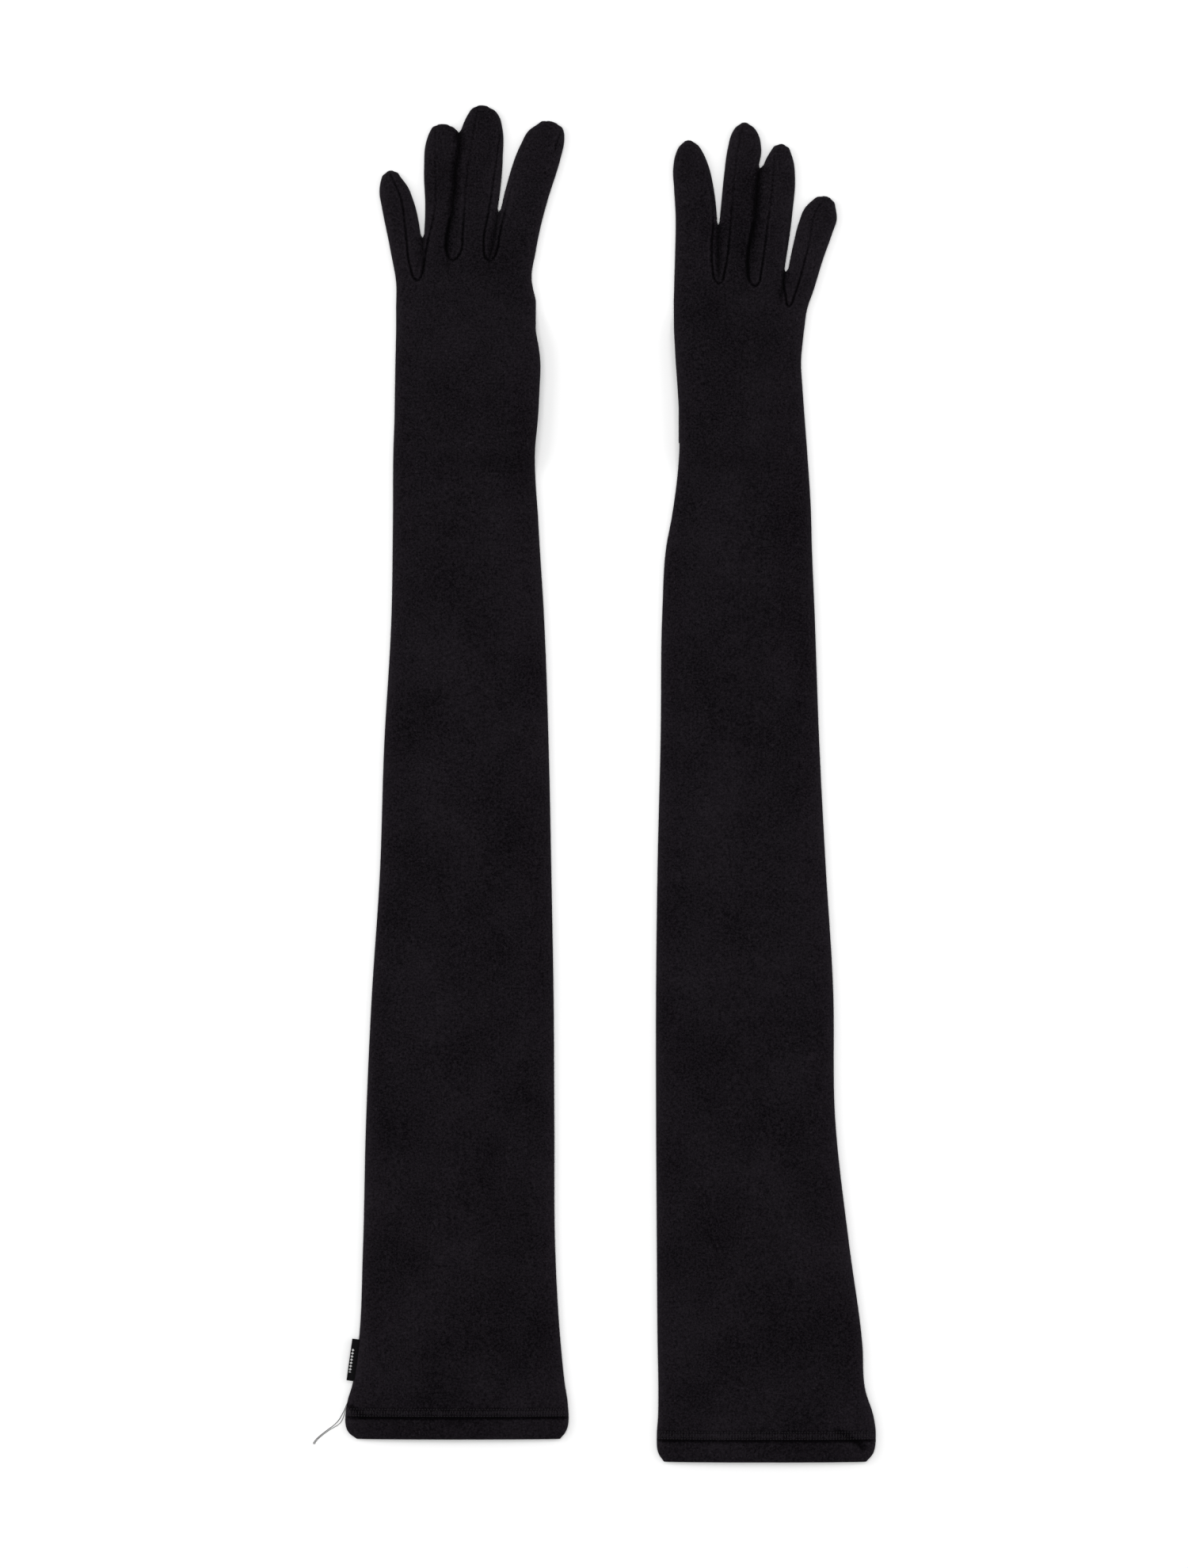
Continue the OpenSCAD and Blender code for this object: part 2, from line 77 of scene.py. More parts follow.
class Maths:
    """A shader socket that takes part in Python sums."""

    def __init__(self, tree, socket):
        self.tree, self.socket = tree, socket

    def node(self, kind, settings=None, out=0, **sockets):
        """Any node: its settings first, then values or links for its sockets by name or number."""
        made = self.tree.nodes.new(kind)
        for name, value in (settings or {}).items():
            setattr(made, name, value)
        for name, value in sockets.items():
            socket = made.inputs[int(name[1:]) if name[1:].isdigit() else name.replace("_", " ")]
            if isinstance(value, Maths):
                self.tree.links.new(value.socket, socket)
            else:
                socket.default_value = value
        return Maths(self.tree, made.outputs[out])

    def sum_with(self, operation, first, second=0.0, clamp=False):
        return self.node("ShaderNodeMath", {"operation": operation, "use_clamp": clamp},
                         i0=first, i1=second)

    def __add__(self, other): return self.sum_with("ADD", self, other)
    def __radd__(self, other): return self.sum_with("ADD", other, self)
    def __sub__(self, other): return self.sum_with("SUBTRACT", self, other)
    def __rsub__(self, other): return self.sum_with("SUBTRACT", other, self)
    def __mul__(self, other): return self.sum_with("MULTIPLY", self, other)
    def __rmul__(self, other): return self.sum_with("MULTIPLY", other, self)
    def __truediv__(self, other): return self.sum_with("DIVIDE", self, other)
    def __abs__(self): return self.sum_with("ABSOLUTE", self)
    def part(self): return self.sum_with("FRACT", self)
    def sine(self): return self.sum_with("SINE", self)
    def clamped(self): return self.sum_with("ADD", self, 0.0, clamp=True)


def new_material(name, roughness, sheen=0.0, sheen_roughness=0.5, specular=0.5):
    """A material with one Principled shader, and a start for its shader sums."""
    material = bpy.data.materials.new(name)
    material.use_nodes = True
    shader = material.node_tree.nodes["Principled BSDF"]
    shader.inputs["Roughness"].default_value = roughness
    shader.inputs["Sheen Weight"].default_value = sheen
    shader.inputs["Sheen Roughness"].default_value = sheen_roughness
    shader.inputs["Specular IOR Level"].default_value = specular
    return material, shader, Maths(material.node_tree, None)


def feed(shader, name, value):
    """Links a sum's result, or sets a plain value, on one of the shader's sockets."""
    if isinstance(value, Maths):
        value.tree.links.new(value.socket, shader.inputs[name])
    else:
        shader.inputs[name].default_value = value


def cloth_grid(sums):
    """Distances across and along the cloth of a piece, for its shader sums."""
    cloth = sums.node("ShaderNodeUVMap", {"uv_map": "cloth"})
    split = sums.node("ShaderNodeSeparateXYZ", i0=cloth)
    return split, Maths(split.tree, split.socket.node.outputs[1])


FLOOR_SIZE = 6
FLOOR_WHITE = (0.93, 0.93, 0.93, 1)

bpy.ops.object.select_all(action="DESELECT")
bpy.ops.mesh.primitive_plane_add(size=FLOOR_SIZE, location=(0, 0, 0))
table_top = bpy.context.object
table_top.name = "table_top"
paper, paper_shader, _ = new_material("white_paper", roughness=0.9, specular=0.1)
feed(paper_shader, "Base Color", FLOOR_WHITE)
table_top.data.materials.append(paper)


def soft_light(name, size, place, watts):
    """A square lamp that faces the middle of the table."""
    lamp = bpy.data.objects.new(name, bpy.data.lights.new(name, "AREA"))
    lamp.data.size = size
    lamp.data.energy = watts
    lamp.location = place
    lamp.rotation_euler = Vector(place).to_track_quat("Z", "Y").to_euler()
    bpy.context.scene.collection.objects.link(lamp)


SKY_STRENGTH = 0.42

soft_light("lamp_over", 2.4, (0, 0.4, 3.0), 56)
soft_light("lamp_left", 1.6, (-2.2, 0.6, 1.6), 24)
soft_light("lamp_right", 1.6, (2.2, 0.2, 1.6), 14)
sky = bpy.data.worlds.new("studio")
sky.use_nodes = True
sky.node_tree.nodes["Background"].inputs["Color"].default_value = (1, 1, 1, 1)
sky.node_tree.nodes["Background"].inputs["Strength"].default_value = SKY_STRENGTH
bpy.context.scene.world = sky
bpy.context.scene.view_settings.view_transform = "Standard"

# Two loose ends of black sewing thread at the hem corner of the left glove, left over from
# the coverstitch. Each is a twisted thread that comes out of the seam and lies on the table.
THREAD_BLACK = (0.0012, 0.0009, 0.0013, 1)
THREAD_TWIST = 0.9
TAIL_A = [
    (-137.8, -322.6, 1.6), (-138.5, -324.4, 1.3), (-139.3, -326.2, 0.8), (-140.1, -328.1, 0.3),
    (-140.9, -329.9, 0.2), (-141.8, -331.7, 0.2), (-142.8, -333.5, 0.2), (-144, -335.2, 0.2),
    (-145.5, -336.7, 0.2), (-147.1, -338, 0.2), (-148.8, -339.2, 0.2), (-150.4, -340.4, 0.2),
    (-152, -341.6, 0.2), (-153.6, -342.9, 0.2), (-155.1, -344.3, 0.2), (-156.4, -345.9, 0.2),
    (-156.9, -347, 0.2),
]
TAIL_B = [
    (-138.3, -323.4, 2.2), (-138.7, -325.1, 1.9), (-139.2, -327, 1.2), (-139.8, -328.9, 0.6),
    (-140.4, -330.8, 0.2), (-141, -332.7, 0.2), (-141.7, -334.5, 0.2), (-142.8, -336.1, 0.2),
    (-144.3, -337.3, 0.2), (-146, -338.3, 0.2), (-147.8, -339.3, 0.2), (-149.5, -340.5, 0.2),
    (-151.2, -341.7, 0.2), (-152.8, -343, 0.2), (-154.4, -344.4, 0.2), (-155.7, -346, 0.2),
    (-156.2, -347.1, 0.2),
]

thread_black, shader, sums = new_material("thread_black", roughness=0.55, sheen=0.2, specular=0.4)
place = sums.node("ShaderNodeTexCoord", out=3)
strands = sums.node("ShaderNodeTexWave", {"wave_type": "BANDS", "bands_direction": "DIAGONAL"},
                    out=1, Vector=place, Scale=1 / (THREAD_TWIST * MM) / 6, Distortion=0.6)
feed(shader, "Base Color", THREAD_BLACK)
feed(shader, "Normal", sums.node("ShaderNodeBump", Strength=0.6, Distance=0.08 * MM,
                                 Height=strands))


def thread_tail(name, route, across, node):
    """A loose thread along a route, as a curve with a round section."""
    line = bpy.data.curves.new(name, "CURVE")
    line.dimensions = "3D"
    line.bevel_depth = across / 2 * MM
    line.bevel_resolution = 3
    line.use_fill_caps = True
    spline = line.splines.new("POLY")
    spline.points.add(len(route) - 1)
    for point, spot in zip(spline.points, route):
        point.co = (*(c * MM for c in spot), 1)
    line.materials.append(thread_black)
    tail = bpy.data.objects.new(name, line)
    bpy.context.scene.collection.objects.link(tail)
    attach(tail, "left_upper")
    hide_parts(node)


thread_tail("loose_thread_a", TAIL_A, 0.36, "thread_tail_a")
thread_tail("loose_thread_b", TAIL_B, 0.3, "thread_tail_b")

# The sleeve of each glove: a tube of fine black stretch jersey, knitted matte and faintly
# fuzzy, lying double on the table. It has one seam, along the little-finger edge.
WALE = 0.62      # width of one column of knit loops
COURSE = 0.5     # height of one loop
KNIT_BLACK = (0.0017, 0.0013, 0.0019, 1)
# The lighter knit colour stands for the knit's own lighter fluff and hairs, and also for a painted
# glow along its edges. SEAM_SHADE is painted shade in the seams, between touching fingers and along
# the hem.
KNIT_FLUFF_AND_GLOW = (0.0158, 0.0132, 0.0166, 1)
SEAM_SHADE = (0.0004, 0.0003, 0.0005, 1)
# How much each part of the knit's look lightens it: its loops, slow changes, hairs and fluff.
LOOP_LIGHT, CLOUD_LIGHT, HAIR_LIGHT, FLUFF_LIGHT, BASE_LIGHT = 0.2, 0.7, 1.1, 1.9, 0.3
LINT_LIGHT = 0.5
LINT_LEVEL, LINT_EDGE = 0.71, 16      # only the highest specks are lint, and how sharp they are


def knit_material(name, dark, light, lightening, wale=WALE, course=COURSE):
    """Matte jersey: columns of V-shaped loops, a fuzz over them, and slow changes of shade."""
    material, shader, sums = new_material(name, roughness=0.92, sheen=0.04,
                                          sheen_roughness=0.3, specular=0.02)
    across, along = cloth_grid(sums)
    lean = abs((across / (wale * MM)).part() - 0.5)
    column = (math.pi * (across / (wale * MM)).part()).sine()
    loops = 0.5 + 0.5 * (2 * math.pi * (along / (course * MM) + lean)).sine()
    place = sums.node("ShaderNodeTexCoord", out=3)
    hairs = sums.node("ShaderNodeTexNoise", Vector=place, Scale=2600.0, Detail=2.0)
    fluff = sums.node("ShaderNodeTexNoise", Vector=place, Scale=900.0, Detail=3.0, Roughness=0.7)
    clouds = sums.node("ShaderNodeTexNoise", Vector=place, Scale=26.0, Detail=3.0, Roughness=0.6)
    specks = sums.node("ShaderNodeTexNoise", Vector=place, Scale=620.0, Detail=1.0)
    lint = ((specks - LINT_LEVEL) * LINT_EDGE).clamped()
    # Painted light and shade read from the mesh: under 0 it darkens the knit toward SEAM_SHADE as
    # painted shade, and over 0 it lightens it as a painted glow.
    painted_light = sums.node("ShaderNodeAttribute", {"attribute_name": "painted_light"}, out=2)
    shade = ((LOOP_LIGHT * column * loops + CLOUD_LIGHT * (clouds - 0.5)
              + HAIR_LIGHT * (hairs - 0.5) + FLUFF_LIGHT * (fluff - 0.5) + BASE_LIGHT) * lightening
             + LINT_LIGHT * lint + painted_light).clamped()
    knitted = sums.node("ShaderNodeMix", {"data_type": "RGBA"}, out=2,
                        i0=shade, i6=dark, i7=light)
    colour = sums.node("ShaderNodeMix", {"data_type": "RGBA"}, out=2,
                       i0=(-1 * painted_light).clamped(), i6=knitted, i7=SEAM_SHADE)
    feed(shader, "Base Color", colour)
    feed(shader, "Roughness", 0.96 - 0.14 * column * loops)
    relief = column * loops + 0.7 * hairs
    feed(shader, "Normal", sums.node("ShaderNodeBump", Strength=0.55, Distance=0.12 * MM,
                                     Height=relief))
    return material


knit = knit_material("knit_black", KNIT_BLACK, KNIT_FLUFF_AND_GLOW, 1.0)
knit_inside = knit_material("knit_wrong_side", KNIT_BLACK, KNIT_FLUFF_AND_GLOW, 1.4, wale=COURSE,
                            course=WALE)

TUBE_ROLL = 2.7        # radius over which the lying cloth turns round at an edge
EDGE_H = 3.6           # height of the lying tube beside that turn
PUFF = 2.4             # how much higher it stands in the middle
CLEAR = 0.15           # air under the cloth
CLOTH = 0.65           # thickness of the jersey
ROLL_STEPS = 6
HEM_ZONE = 22          # stretch beside the hem with a finer grid
EDGE_GLOW, EDGE_GLOW_REACH = 0.55, 1.9    # painted glow along the folded edges, and how far it reaches
HEM_DEPTH = 16         # from the hem's edge to its upper row of stitching
ROW_GAP = 3.6          # between the two rows of stitching
HEM_FOLD_SHADE = {"left": [(-138.3, -326.3), (-129.6, -332.1)],       # where painted shade stands for the turned hem's pucker
             "right": [(118.7, -339.5), (124, -342), (132.9, -348.5)]}
LIP = 1.6              # length of the rounded fold at the hem's edge
SLEEVE_END = 30        # height along the glove where the sleeve piece meets the hand piece
SEAM_PULL = 0.35       # how far the side seam pulls the edge in
THIN_CLOTH = 0.5       # thickness of the jersey at the fingers, the thumb and the turned hem
SLEEVE_FLAT = 205      # width of the sleeve laid open and flat, all the way round
SIDES = {"left": -1, "right": 1}     # the little finger's side of each glove


def corners(*nodes):
    """All corners of some CAD nodes, in millimetres."""
    return np.array([v.co[:] for n in nodes for v in frame["nodes"][n].data.vertices]) / MM


def stations(nodes, origin, along, across, height):
    """Rows of [distance along, low side, high side] where the outline has its corners."""
    spots = corners(*nodes)
    spots = spots[np.abs(spots[:, 2] - height) < 0.05][:, :2] - origin
    rows = {}
    for s, x in zip(spots @ along, spots @ across):
        low, high = rows.get(round(s, 1), (x, x))
        rows[round(s, 1)] = (min(low, x), max(high, x))
    return np.array([(s, *rows[s]) for s in sorted(rows) if rows[s][1] - rows[s][0] > 2])


def slices(nodes, along, across, stops):
    """Rows of [distance along, low side, high side], cut through the nodes at each stop."""
    rows = []
    for stop in stops:
        found = []
        for n in nodes:
            mesh = frame["nodes"][n].data
            spots = np.array([v.co[:] for v in mesh.vertices])[:, :2] / MM
            ends = np.array([e.vertices[:] for e in mesh.edges])
            s, x = (spots @ along)[ends], (spots @ across)[ends]
            cut = (s[:, 0] - stop) * (s[:, 1] - stop) < 0
            share = (stop - s[cut, 0]) / (s[cut, 1] - s[cut, 0])
            found.append(x[cut, 0] + share * (x[cut, 1] - x[cut, 0]))
        found = np.concatenate(found)
        rows.append((stop, found.min(), found.max()))
    return np.array(rows)


def smooth_line(points, parts):
    """A soft curve through points; parts gives how many steps each stretch is cut into."""
    points = np.array(points, float)
    gaps = np.maximum(np.linalg.norm(np.diff(points, axis=0), axis=1), 1e-6)
    slopes = np.diff(points, axis=0) / gaps[:, None]
    tangents = np.vstack([slopes[:1], (slopes[:-1] * gaps[1:, None] + slopes[1:] * gaps[:-1, None])
                          / (gaps[:-1] + gaps[1:])[:, None], slopes[-1:]])
    line = [points[:1]]
    for i, n in enumerate(parts):
        t = (np.arange(n) + 1)[:, None] / n
        a, b = points[i], points[i + 1]
        ta, tb = tangents[i] * gaps[i], tangents[i + 1] * gaps[i]
        line.append((2 * t**3 - 3 * t**2 + 1) * a + (t**3 - 2 * t**2 + t) * ta
                    + (3 * t**2 - 2 * t**3) * b + (t**3 - t**2) * tb)
    return np.vstack(line)


def ease(value):
    """0 to 1 with soft ends."""
    t = np.clip(value, 0, 1)
    return t * t * (3 - 2 * t)


X, Y = np.array([1.0, 0.0]), np.array([0.0, 1.0])
HAND_STOPS = (176, 190, 206, 222, 238)
glove_sides = {}
for g in SIDES:
    tube = stations([f"{g}_upper_sleeve", f"{g}_upper_seam", f"{g}_forearm", f"{g}_forearm_seam"],
                    np.zeros(2), Y, X, 3.5)
    fist = slices([f"{g}_hand", f"{g}_hand_seam"], Y, X, HAND_STOPS)
    tube = tube[(np.abs(tube[:, 0] + 100) > 2) & (tube[:, 0] < 150)]
    glove_sides[g] = np.vstack([tube, fist])


def sides_at(g, y):
    """The two edges of a glove's sleeve or hand at a height y."""
    rows = glove_sides[g]
    line = np.hstack([smooth_line(rows[:, [0, 1]], [8] * (len(rows) - 1)),
                      smooth_line(rows[:, [0, 2]], [8] * (len(rows) - 1))])
    y = np.clip(y, rows[0, 0], rows[-1, 0])
    return np.interp(y, line[:, 0], line[:, 1]), np.interp(y, line[:, 2], line[:, 3])


# Soft creases pressed into the cloth: [points of the crease, depth, half its width].
CREASES = {
    "left": [
        ([(-70, -60), (-70, -190)], 0.55, 5), ([(-59, -180), (-60, -268)], 0.45, 5),
        ([(-99, 133), (-99, 90)], 0.6, 4), ([(-115, 68), (-96, 60), (-75, 58)], 0.5, 3.5),
        ([(-105, 268), (-84, 262), (-62, 260)], 0.5, 6), ([(-86, 226), (-76, 198)], 0.6, 5),
        ([(-128, -222), (-105, -228)], 0.35, 4),
    ],
    "right": [
        ([(40, -94), (52, -138), (58, -168), (61, -215), (64, -240)], 0.55, 5),
        ([(104, -128), (104, -174)], 0.5, 4), ([(92, -63), (113, -63)], 0.45, 3.5),
        ([(88, -78), (114, -80)], 0.45, 3.5), ([(56, -38), (81, -38)], 0.4, 4),
        ([(74, -205), (114, -218)], 0.45, 6), ([(48, -279), (92, -280)], 0.4, 4),
        ([(102, -293), (124, -293)], 0.4, 4), ([(48, 256), (67, 256)], 0.5, 4),
        ([(30, 56), (36, 0)], 0.35, 5),
    ],
}
RIPPLE = 0.5           # height of the slow random waves of the cloth
RIPPLE_LENGTH = 55
HAND_LIFT = 6.2        # how far the folded thumb holds up the palm
LIFT_FROM, LIFT_TO = 160, 178
LIFT_END, LIFT_OVER = 232, 254
LIFT_SHARE = 0.18, 0.24    # where across the palm it starts to rise, and over how much of it


def near_line(spots, line):
    """Distance from each spot to a line of points."""
    best = np.full(len(spots), 1e9)
    for a, b in zip(line[:-1], line[1:]):
        t = np.clip(((spots - a) @ (b - a)) / max((b - a) @ (b - a), 1e-9), 0, 1)
        best = np.minimum(best, np.linalg.norm(spots - a - t[:, None] * (b - a), axis=1))
    return best


def palm_lift(g, spots):
    """Height of the palm side over the table: it lies on the folded thumb at the index side."""
    low, high = sides_at(g, spots[:, 1])
    share = (spots[:, 0] - low) / (high - low)
    share = share if SIDES[g] < 0 else 1 - share
    rise = ease((spots[:, 1] - LIFT_FROM) / (LIFT_TO - LIFT_FROM))
    fall = 1 - ease((spots[:, 1] - LIFT_END) / (LIFT_OVER - LIFT_END))
    return CLEAR + HAND_LIFT * rise * fall * ease((share - LIFT_SHARE[0]) / LIFT_SHARE[1])


def tube_height(g, spots):
    """Height of the tube itself at each spot: low at the edges and a little puffed between."""
    low, high = sides_at(g, spots[:, 1])
    share = np.clip((spots[:, 0] - low) / (high - low), 0, 1)
    return EDGE_H + PUFF * (4 * share * (1 - share)) ** 0.7


def cloth_waves(g, spots):
    """Creases and slow waves of the upper cloth."""
    dz = np.zeros(len(spots))
    for line, depth, half in CREASES[g]:
        dz -= depth * np.exp(-(near_line(spots, np.array(line, float)) / half) ** 2)
        dz += 0.4 * depth * np.exp(-((near_line(spots, np.array(line, float)) - 2 * half)
                                     / half) ** 2)
    seed = 7.3 * SIDES[g]
    dz += RIPPLE * np.array([noise.noise(Vector((x / RIPPLE_LENGTH, y / RIPPLE_LENGTH / 1.6, seed)))
                             + 0.4 * noise.noise(Vector((x / 17, y / 24, seed)))
                             for x, y in spots])
    return dz


def section(a, b, n_across, roll=TUBE_ROLL, square=(0, 0)):
    """Spots of one row from edge a to edge b with how full the tube stands at each, 0 to 1.

    square gives how upright the wall at each end is: 0 round, 1 a straight wall."""
    width = np.linalg.norm(b - a)
    r = min(roll, 0.42 * width)
    turn = np.arange(ROLL_STEPS + 1) * math.pi / 2 / ROLL_STEPS
    upright = np.maximum(np.arange(ROLL_STEPS + 1) - 1, 0) / (ROLL_STEPS - 1)
    def side(q):
        reach = r * ((1 - q) * (1 - np.cos(turn)) + q * upright)
        full = (1 - q) * np.sin(turn) + q * (turn > 0)
        return reach, full
    ra, fa = side(square[0])
    rb, fb = side(square[1])
    middle = np.linspace(r, width - r, n_across + 1)[1:-1]
    reach = np.concatenate([ra, middle, (width - rb)[::-1]])
    full = np.concatenate([fa, np.ones(n_across - 1), fb[::-1]])
    return a + np.outer(reach / width, b - a), full


def tube_loop(spots, full, low, high):
    """One closed loop round the tube: over the top from the first edge, and back underneath."""
    middle = low + EDGE_H / 2
    top = np.column_stack([spots, middle + full * (high - middle)])
    under = np.column_stack([spots, middle - full * (middle - low)])
    return np.vstack([top, under[-2:0:-1]])


def edge_glow(rows):
    """How much painted glow each spot of some loops gets for lying near either edge of the flat
    tube.
    """
    ends = rows[:, [0, rows.shape[1] // 2], :2]
    away = np.linalg.norm(rows[:, :, None, :2] - ends[:, None], axis=3)
    return np.exp(-away / EDGE_GLOW_REACH) * EDGE_GLOW


def sew_skin(name, rows, materials, cloth=CLOTH, painted_light=None):
    """A tube of cloth through rows of loops: a grid joined round, then given its thickness.

    The last argument gives the painted light and shade at each spot: painted shade under 0, a
    painted glow over 0. Without it, only the painted glow along the edges is used."""
    rows = np.array(rows)
    n_rows, n_round = rows.shape[:2]
    if painted_light is None:
        painted_light = edge_glow(rows).sum(axis=2)
    bpy.ops.object.select_all(action="DESELECT")
    bpy.ops.mesh.primitive_grid_add(x_subdivisions=n_round, y_subdivisions=n_rows - 1, size=1)
    piece = bpy.context.object
    piece.name = piece.data.name = name
    mesh = piece.data
    loops = np.concatenate([rows, rows[:, :1]], axis=1)
    mesh.vertices.foreach_set("co", (loops.reshape(-1, 3) * MM).astype(np.float32).ravel())
    steps = np.linalg.norm(np.diff(loops, axis=1), axis=2)
    around = np.concatenate([np.zeros((n_rows, 1)), np.cumsum(steps, axis=1)], axis=1)
    around -= around[:, [n_round // 4]]
    rises = np.linalg.norm(np.diff(loops[:, n_round // 4], axis=0), axis=1)
    along = np.concatenate([[0], np.cumsum(rises)])[:, None] + rows[0, 0, 1] + 0 * around
    uv = mesh.uv_layers[0]
    uv.name = "cloth"
    corner = np.zeros(len(mesh.loops), np.int32)
    mesh.loops.foreach_get("vertex_index", corner)
    flat = np.column_stack([around.ravel(), along.ravel()])[corner] * MM
    uv.data.foreach_set("uv", flat.astype(np.float32).ravel())
    # The painted light and shade is stored on the mesh for the knit shader.
    marks = mesh.attributes.new("painted_light", "FLOAT", "POINT")
    light_and_shade = np.concatenate([painted_light, painted_light[:, :1]], axis=1)
    marks.data.foreach_set("value", light_and_shade.astype(np.float32).ravel())
    mesh.update()
    bpy.ops.object.mode_set(mode="EDIT")
    bpy.ops.mesh.select_all(action="SELECT")
    bpy.ops.mesh.remove_doubles(threshold=0.002 * MM)
    bpy.ops.object.mode_set(mode="OBJECT")
    for material in materials:
        mesh.materials.append(material)
    wall = piece.modifiers.new("cloth", "SOLIDIFY")
    wall.thickness = cloth * MM
    wall.offset = -1
    wall.use_rim = True
    wall.material_offset = 1 if len(materials) > 1 else 0
    bpy.ops.object.modifier_apply(modifier="cloth")
    bpy.ops.object.shade_smooth_by_angle(angle=math.radians(50))
    return piece


def lay_cloth(piece, width, length, area=None):
    """Does nothing with the piece: it only works out the length in metres."""
    length * MM


def hem_shade(g, rows, hem_y):
    """Painted shade along the hem: a dark line just under its lower row of stitching, a fainter one
    on its upper row, and a band along its pucker.
    """
    up = rows[:, :, 1] - hem_y - HEM_DEPTH
    fold = near_line(rows[:, :, :2].reshape(-1, 2), np.array(HEM_FOLD_SHADE[g])).reshape(up.shape)
    return -0.5 * np.exp(-((up + ROW_GAP + 0.9) / 0.9) ** 2) \
        - 0.25 * np.exp(-(up / 0.6) ** 2) - 0.45 * np.exp(-(fold / 1.4) ** 2)


def sleeve_row(g, y, n_across, hem_y):
    """One loop of the sleeve at a height y, pinched where the hem turns in."""
    low_x, high_x = sides_at(g, y)
    spots, full = section(np.array([low_x, y]), np.array([high_x, y]), n_across)
    low = palm_lift(g, spots)
    tall = tube_height(g, spots) + cloth_waves(g, spots) * full
    lip = 1 - min((y - hem_y) / LIP, 1)
    tall = tall - 0.9 * (1 - math.sqrt(1 - lip * lip))
    loop = tube_loop(spots, full, low + 0.3 * lip * lip, low + tall)
    edge = 0 if SIDES[g] < 0 else len(spots) - 1
    loop[edge, 0] -= SIDES[g] * SEAM_PULL
    return loop


SLEEVE_ACROSS = 54
hems = {g: float(glove_sides[g][0, 0]) for g in SIDES}
for g in SIDES:
    hem_y = hems[g]
    heights = np.concatenate([hem_y + LIP * (1 - np.cos(np.arange(6) * math.pi / 12)),
                              np.arange(hem_y + LIP + 0.5, hem_y + HEM_ZONE, 0.55),
                              np.linspace(hem_y + HEM_ZONE, SLEEVE_END, 150)])
    rows = np.array([sleeve_row(g, y, SLEEVE_ACROSS, hem_y) for y in heights])
    # The sleeve's painted light and shade: a painted glow along its edges and painted shade along
    # the hem.
    sleeve = sew_skin(f"{g}_sleeve_cloth", rows, [knit, knit_inside],
                      painted_light=edge_glow(rows).sum(axis=2) + hem_shade(g, rows, hem_y))
    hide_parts(f"{g}_upper_sleeve", f"{g}_upper_seam", f"{g}_forearm",
                f"{g}_forearm_seam")
    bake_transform(sleeve)
    lay_cloth(sleeve, SLEEVE_FLAT, SLEEVE_END - hem_y)

# The turned hem at the top of each sleeve: the jersey is folded in once and caught by a
# twin-needle coverstitch, two rows of small stitches with a looper thread between them.
STITCH_PITCH = 1.5
STITCH = (1.05, 0.42, 0.34)      # length, width and height of one stitch
LOOPER = (2.5, 0.3, 0.22)
ROW_INSET = 1.2                  # from the sleeve's edge to the first and last stitch
THREAD_LIT = (0.026, 0.023, 0.027, 1)

stitch_black, shader, sums = new_material("stitch_black", roughness=0.8, sheen=0.04, specular=0.06)
place = sums.node("ShaderNodeTexCoord", out=3)
hairs = sums.node("ShaderNodeTexNoise", Vector=place, Scale=3000.0, Detail=1.0)
feed(shader, "Base Color", sums.node("ShaderNodeMix", {"data_type": "RGBA"}, out=2, i0=hairs,
                                     i6=THREAD_BLACK, i7=THREAD_LIT))
feed(shader, "Normal", sums.node("ShaderNodeBump", Strength=0.5, Distance=0.05 * MM,
                                 Height=hairs))


def stitch_row(name, stitches, material):
    """Many stitches as one mesh: [place, direction, length, width, height] each, a small grain."""
    bpy.ops.object.select_all(action="DESELECT")
    bpy.ops.mesh.primitive_uv_sphere_add(segments=8, ring_count=5, radius=0.5)
    grain = bpy.context.object
    bead = np.array([v.co[:] for v in grain.data.vertices])[:, [2, 0, 1]]
    sides = [tuple(f.vertices) for f in grain.data.polygons]
    bpy.data.objects.remove(grain)
    spots, faces = [], []
    for place, heading, length, width, height in stitches:
        ahead = np.array([*heading, 0]) / np.linalg.norm(heading)
        left = np.array([-ahead[1], ahead[0], 0])
        base = len(spots) * len(bead)
        spots.append(place + np.outer(bead[:, 0] * length, ahead)
                     + np.outer(bead[:, 1] * width, left)
                     + np.outer(bead[:, 2] * height, (0, 0, 1)))
        faces += [tuple(base + v for v in f) for f in sides]
    mesh = bpy.data.meshes.new(name)
    mesh.from_pydata((np.vstack(spots) * MM).tolist(), [], faces)
    mesh.materials.append(material)
    piece = bpy.data.objects.new(name, mesh)
    bpy.context.scene.collection.objects.link(piece)
    bpy.ops.object.select_all(action="DESELECT")
    piece.select_set(True)
    bpy.context.view_layer.objects.active = piece
    bpy.ops.object.shade_smooth()
    return piece


def hem_height(g, x, y, over):
    """Height of the sleeve's outer face at a spot near the hem, on the upper or the under side."""
    spot = np.array([[x, y]])
    low, high = sides_at(g, y)
    reach = min(x - low, high - x)
    full = math.sqrt(max(1 - max(1 - reach / TUBE_ROLL, 0) ** 2, 0))
    if not over:
        return CLEAR + EDGE_H / 2 * (1 - full)
    tall = tube_height(g, spot)[0] + cloth_waves(g, spot)[0]
    return CLEAR + EDGE_H / 2 + full * (tall - EDGE_H / 2)


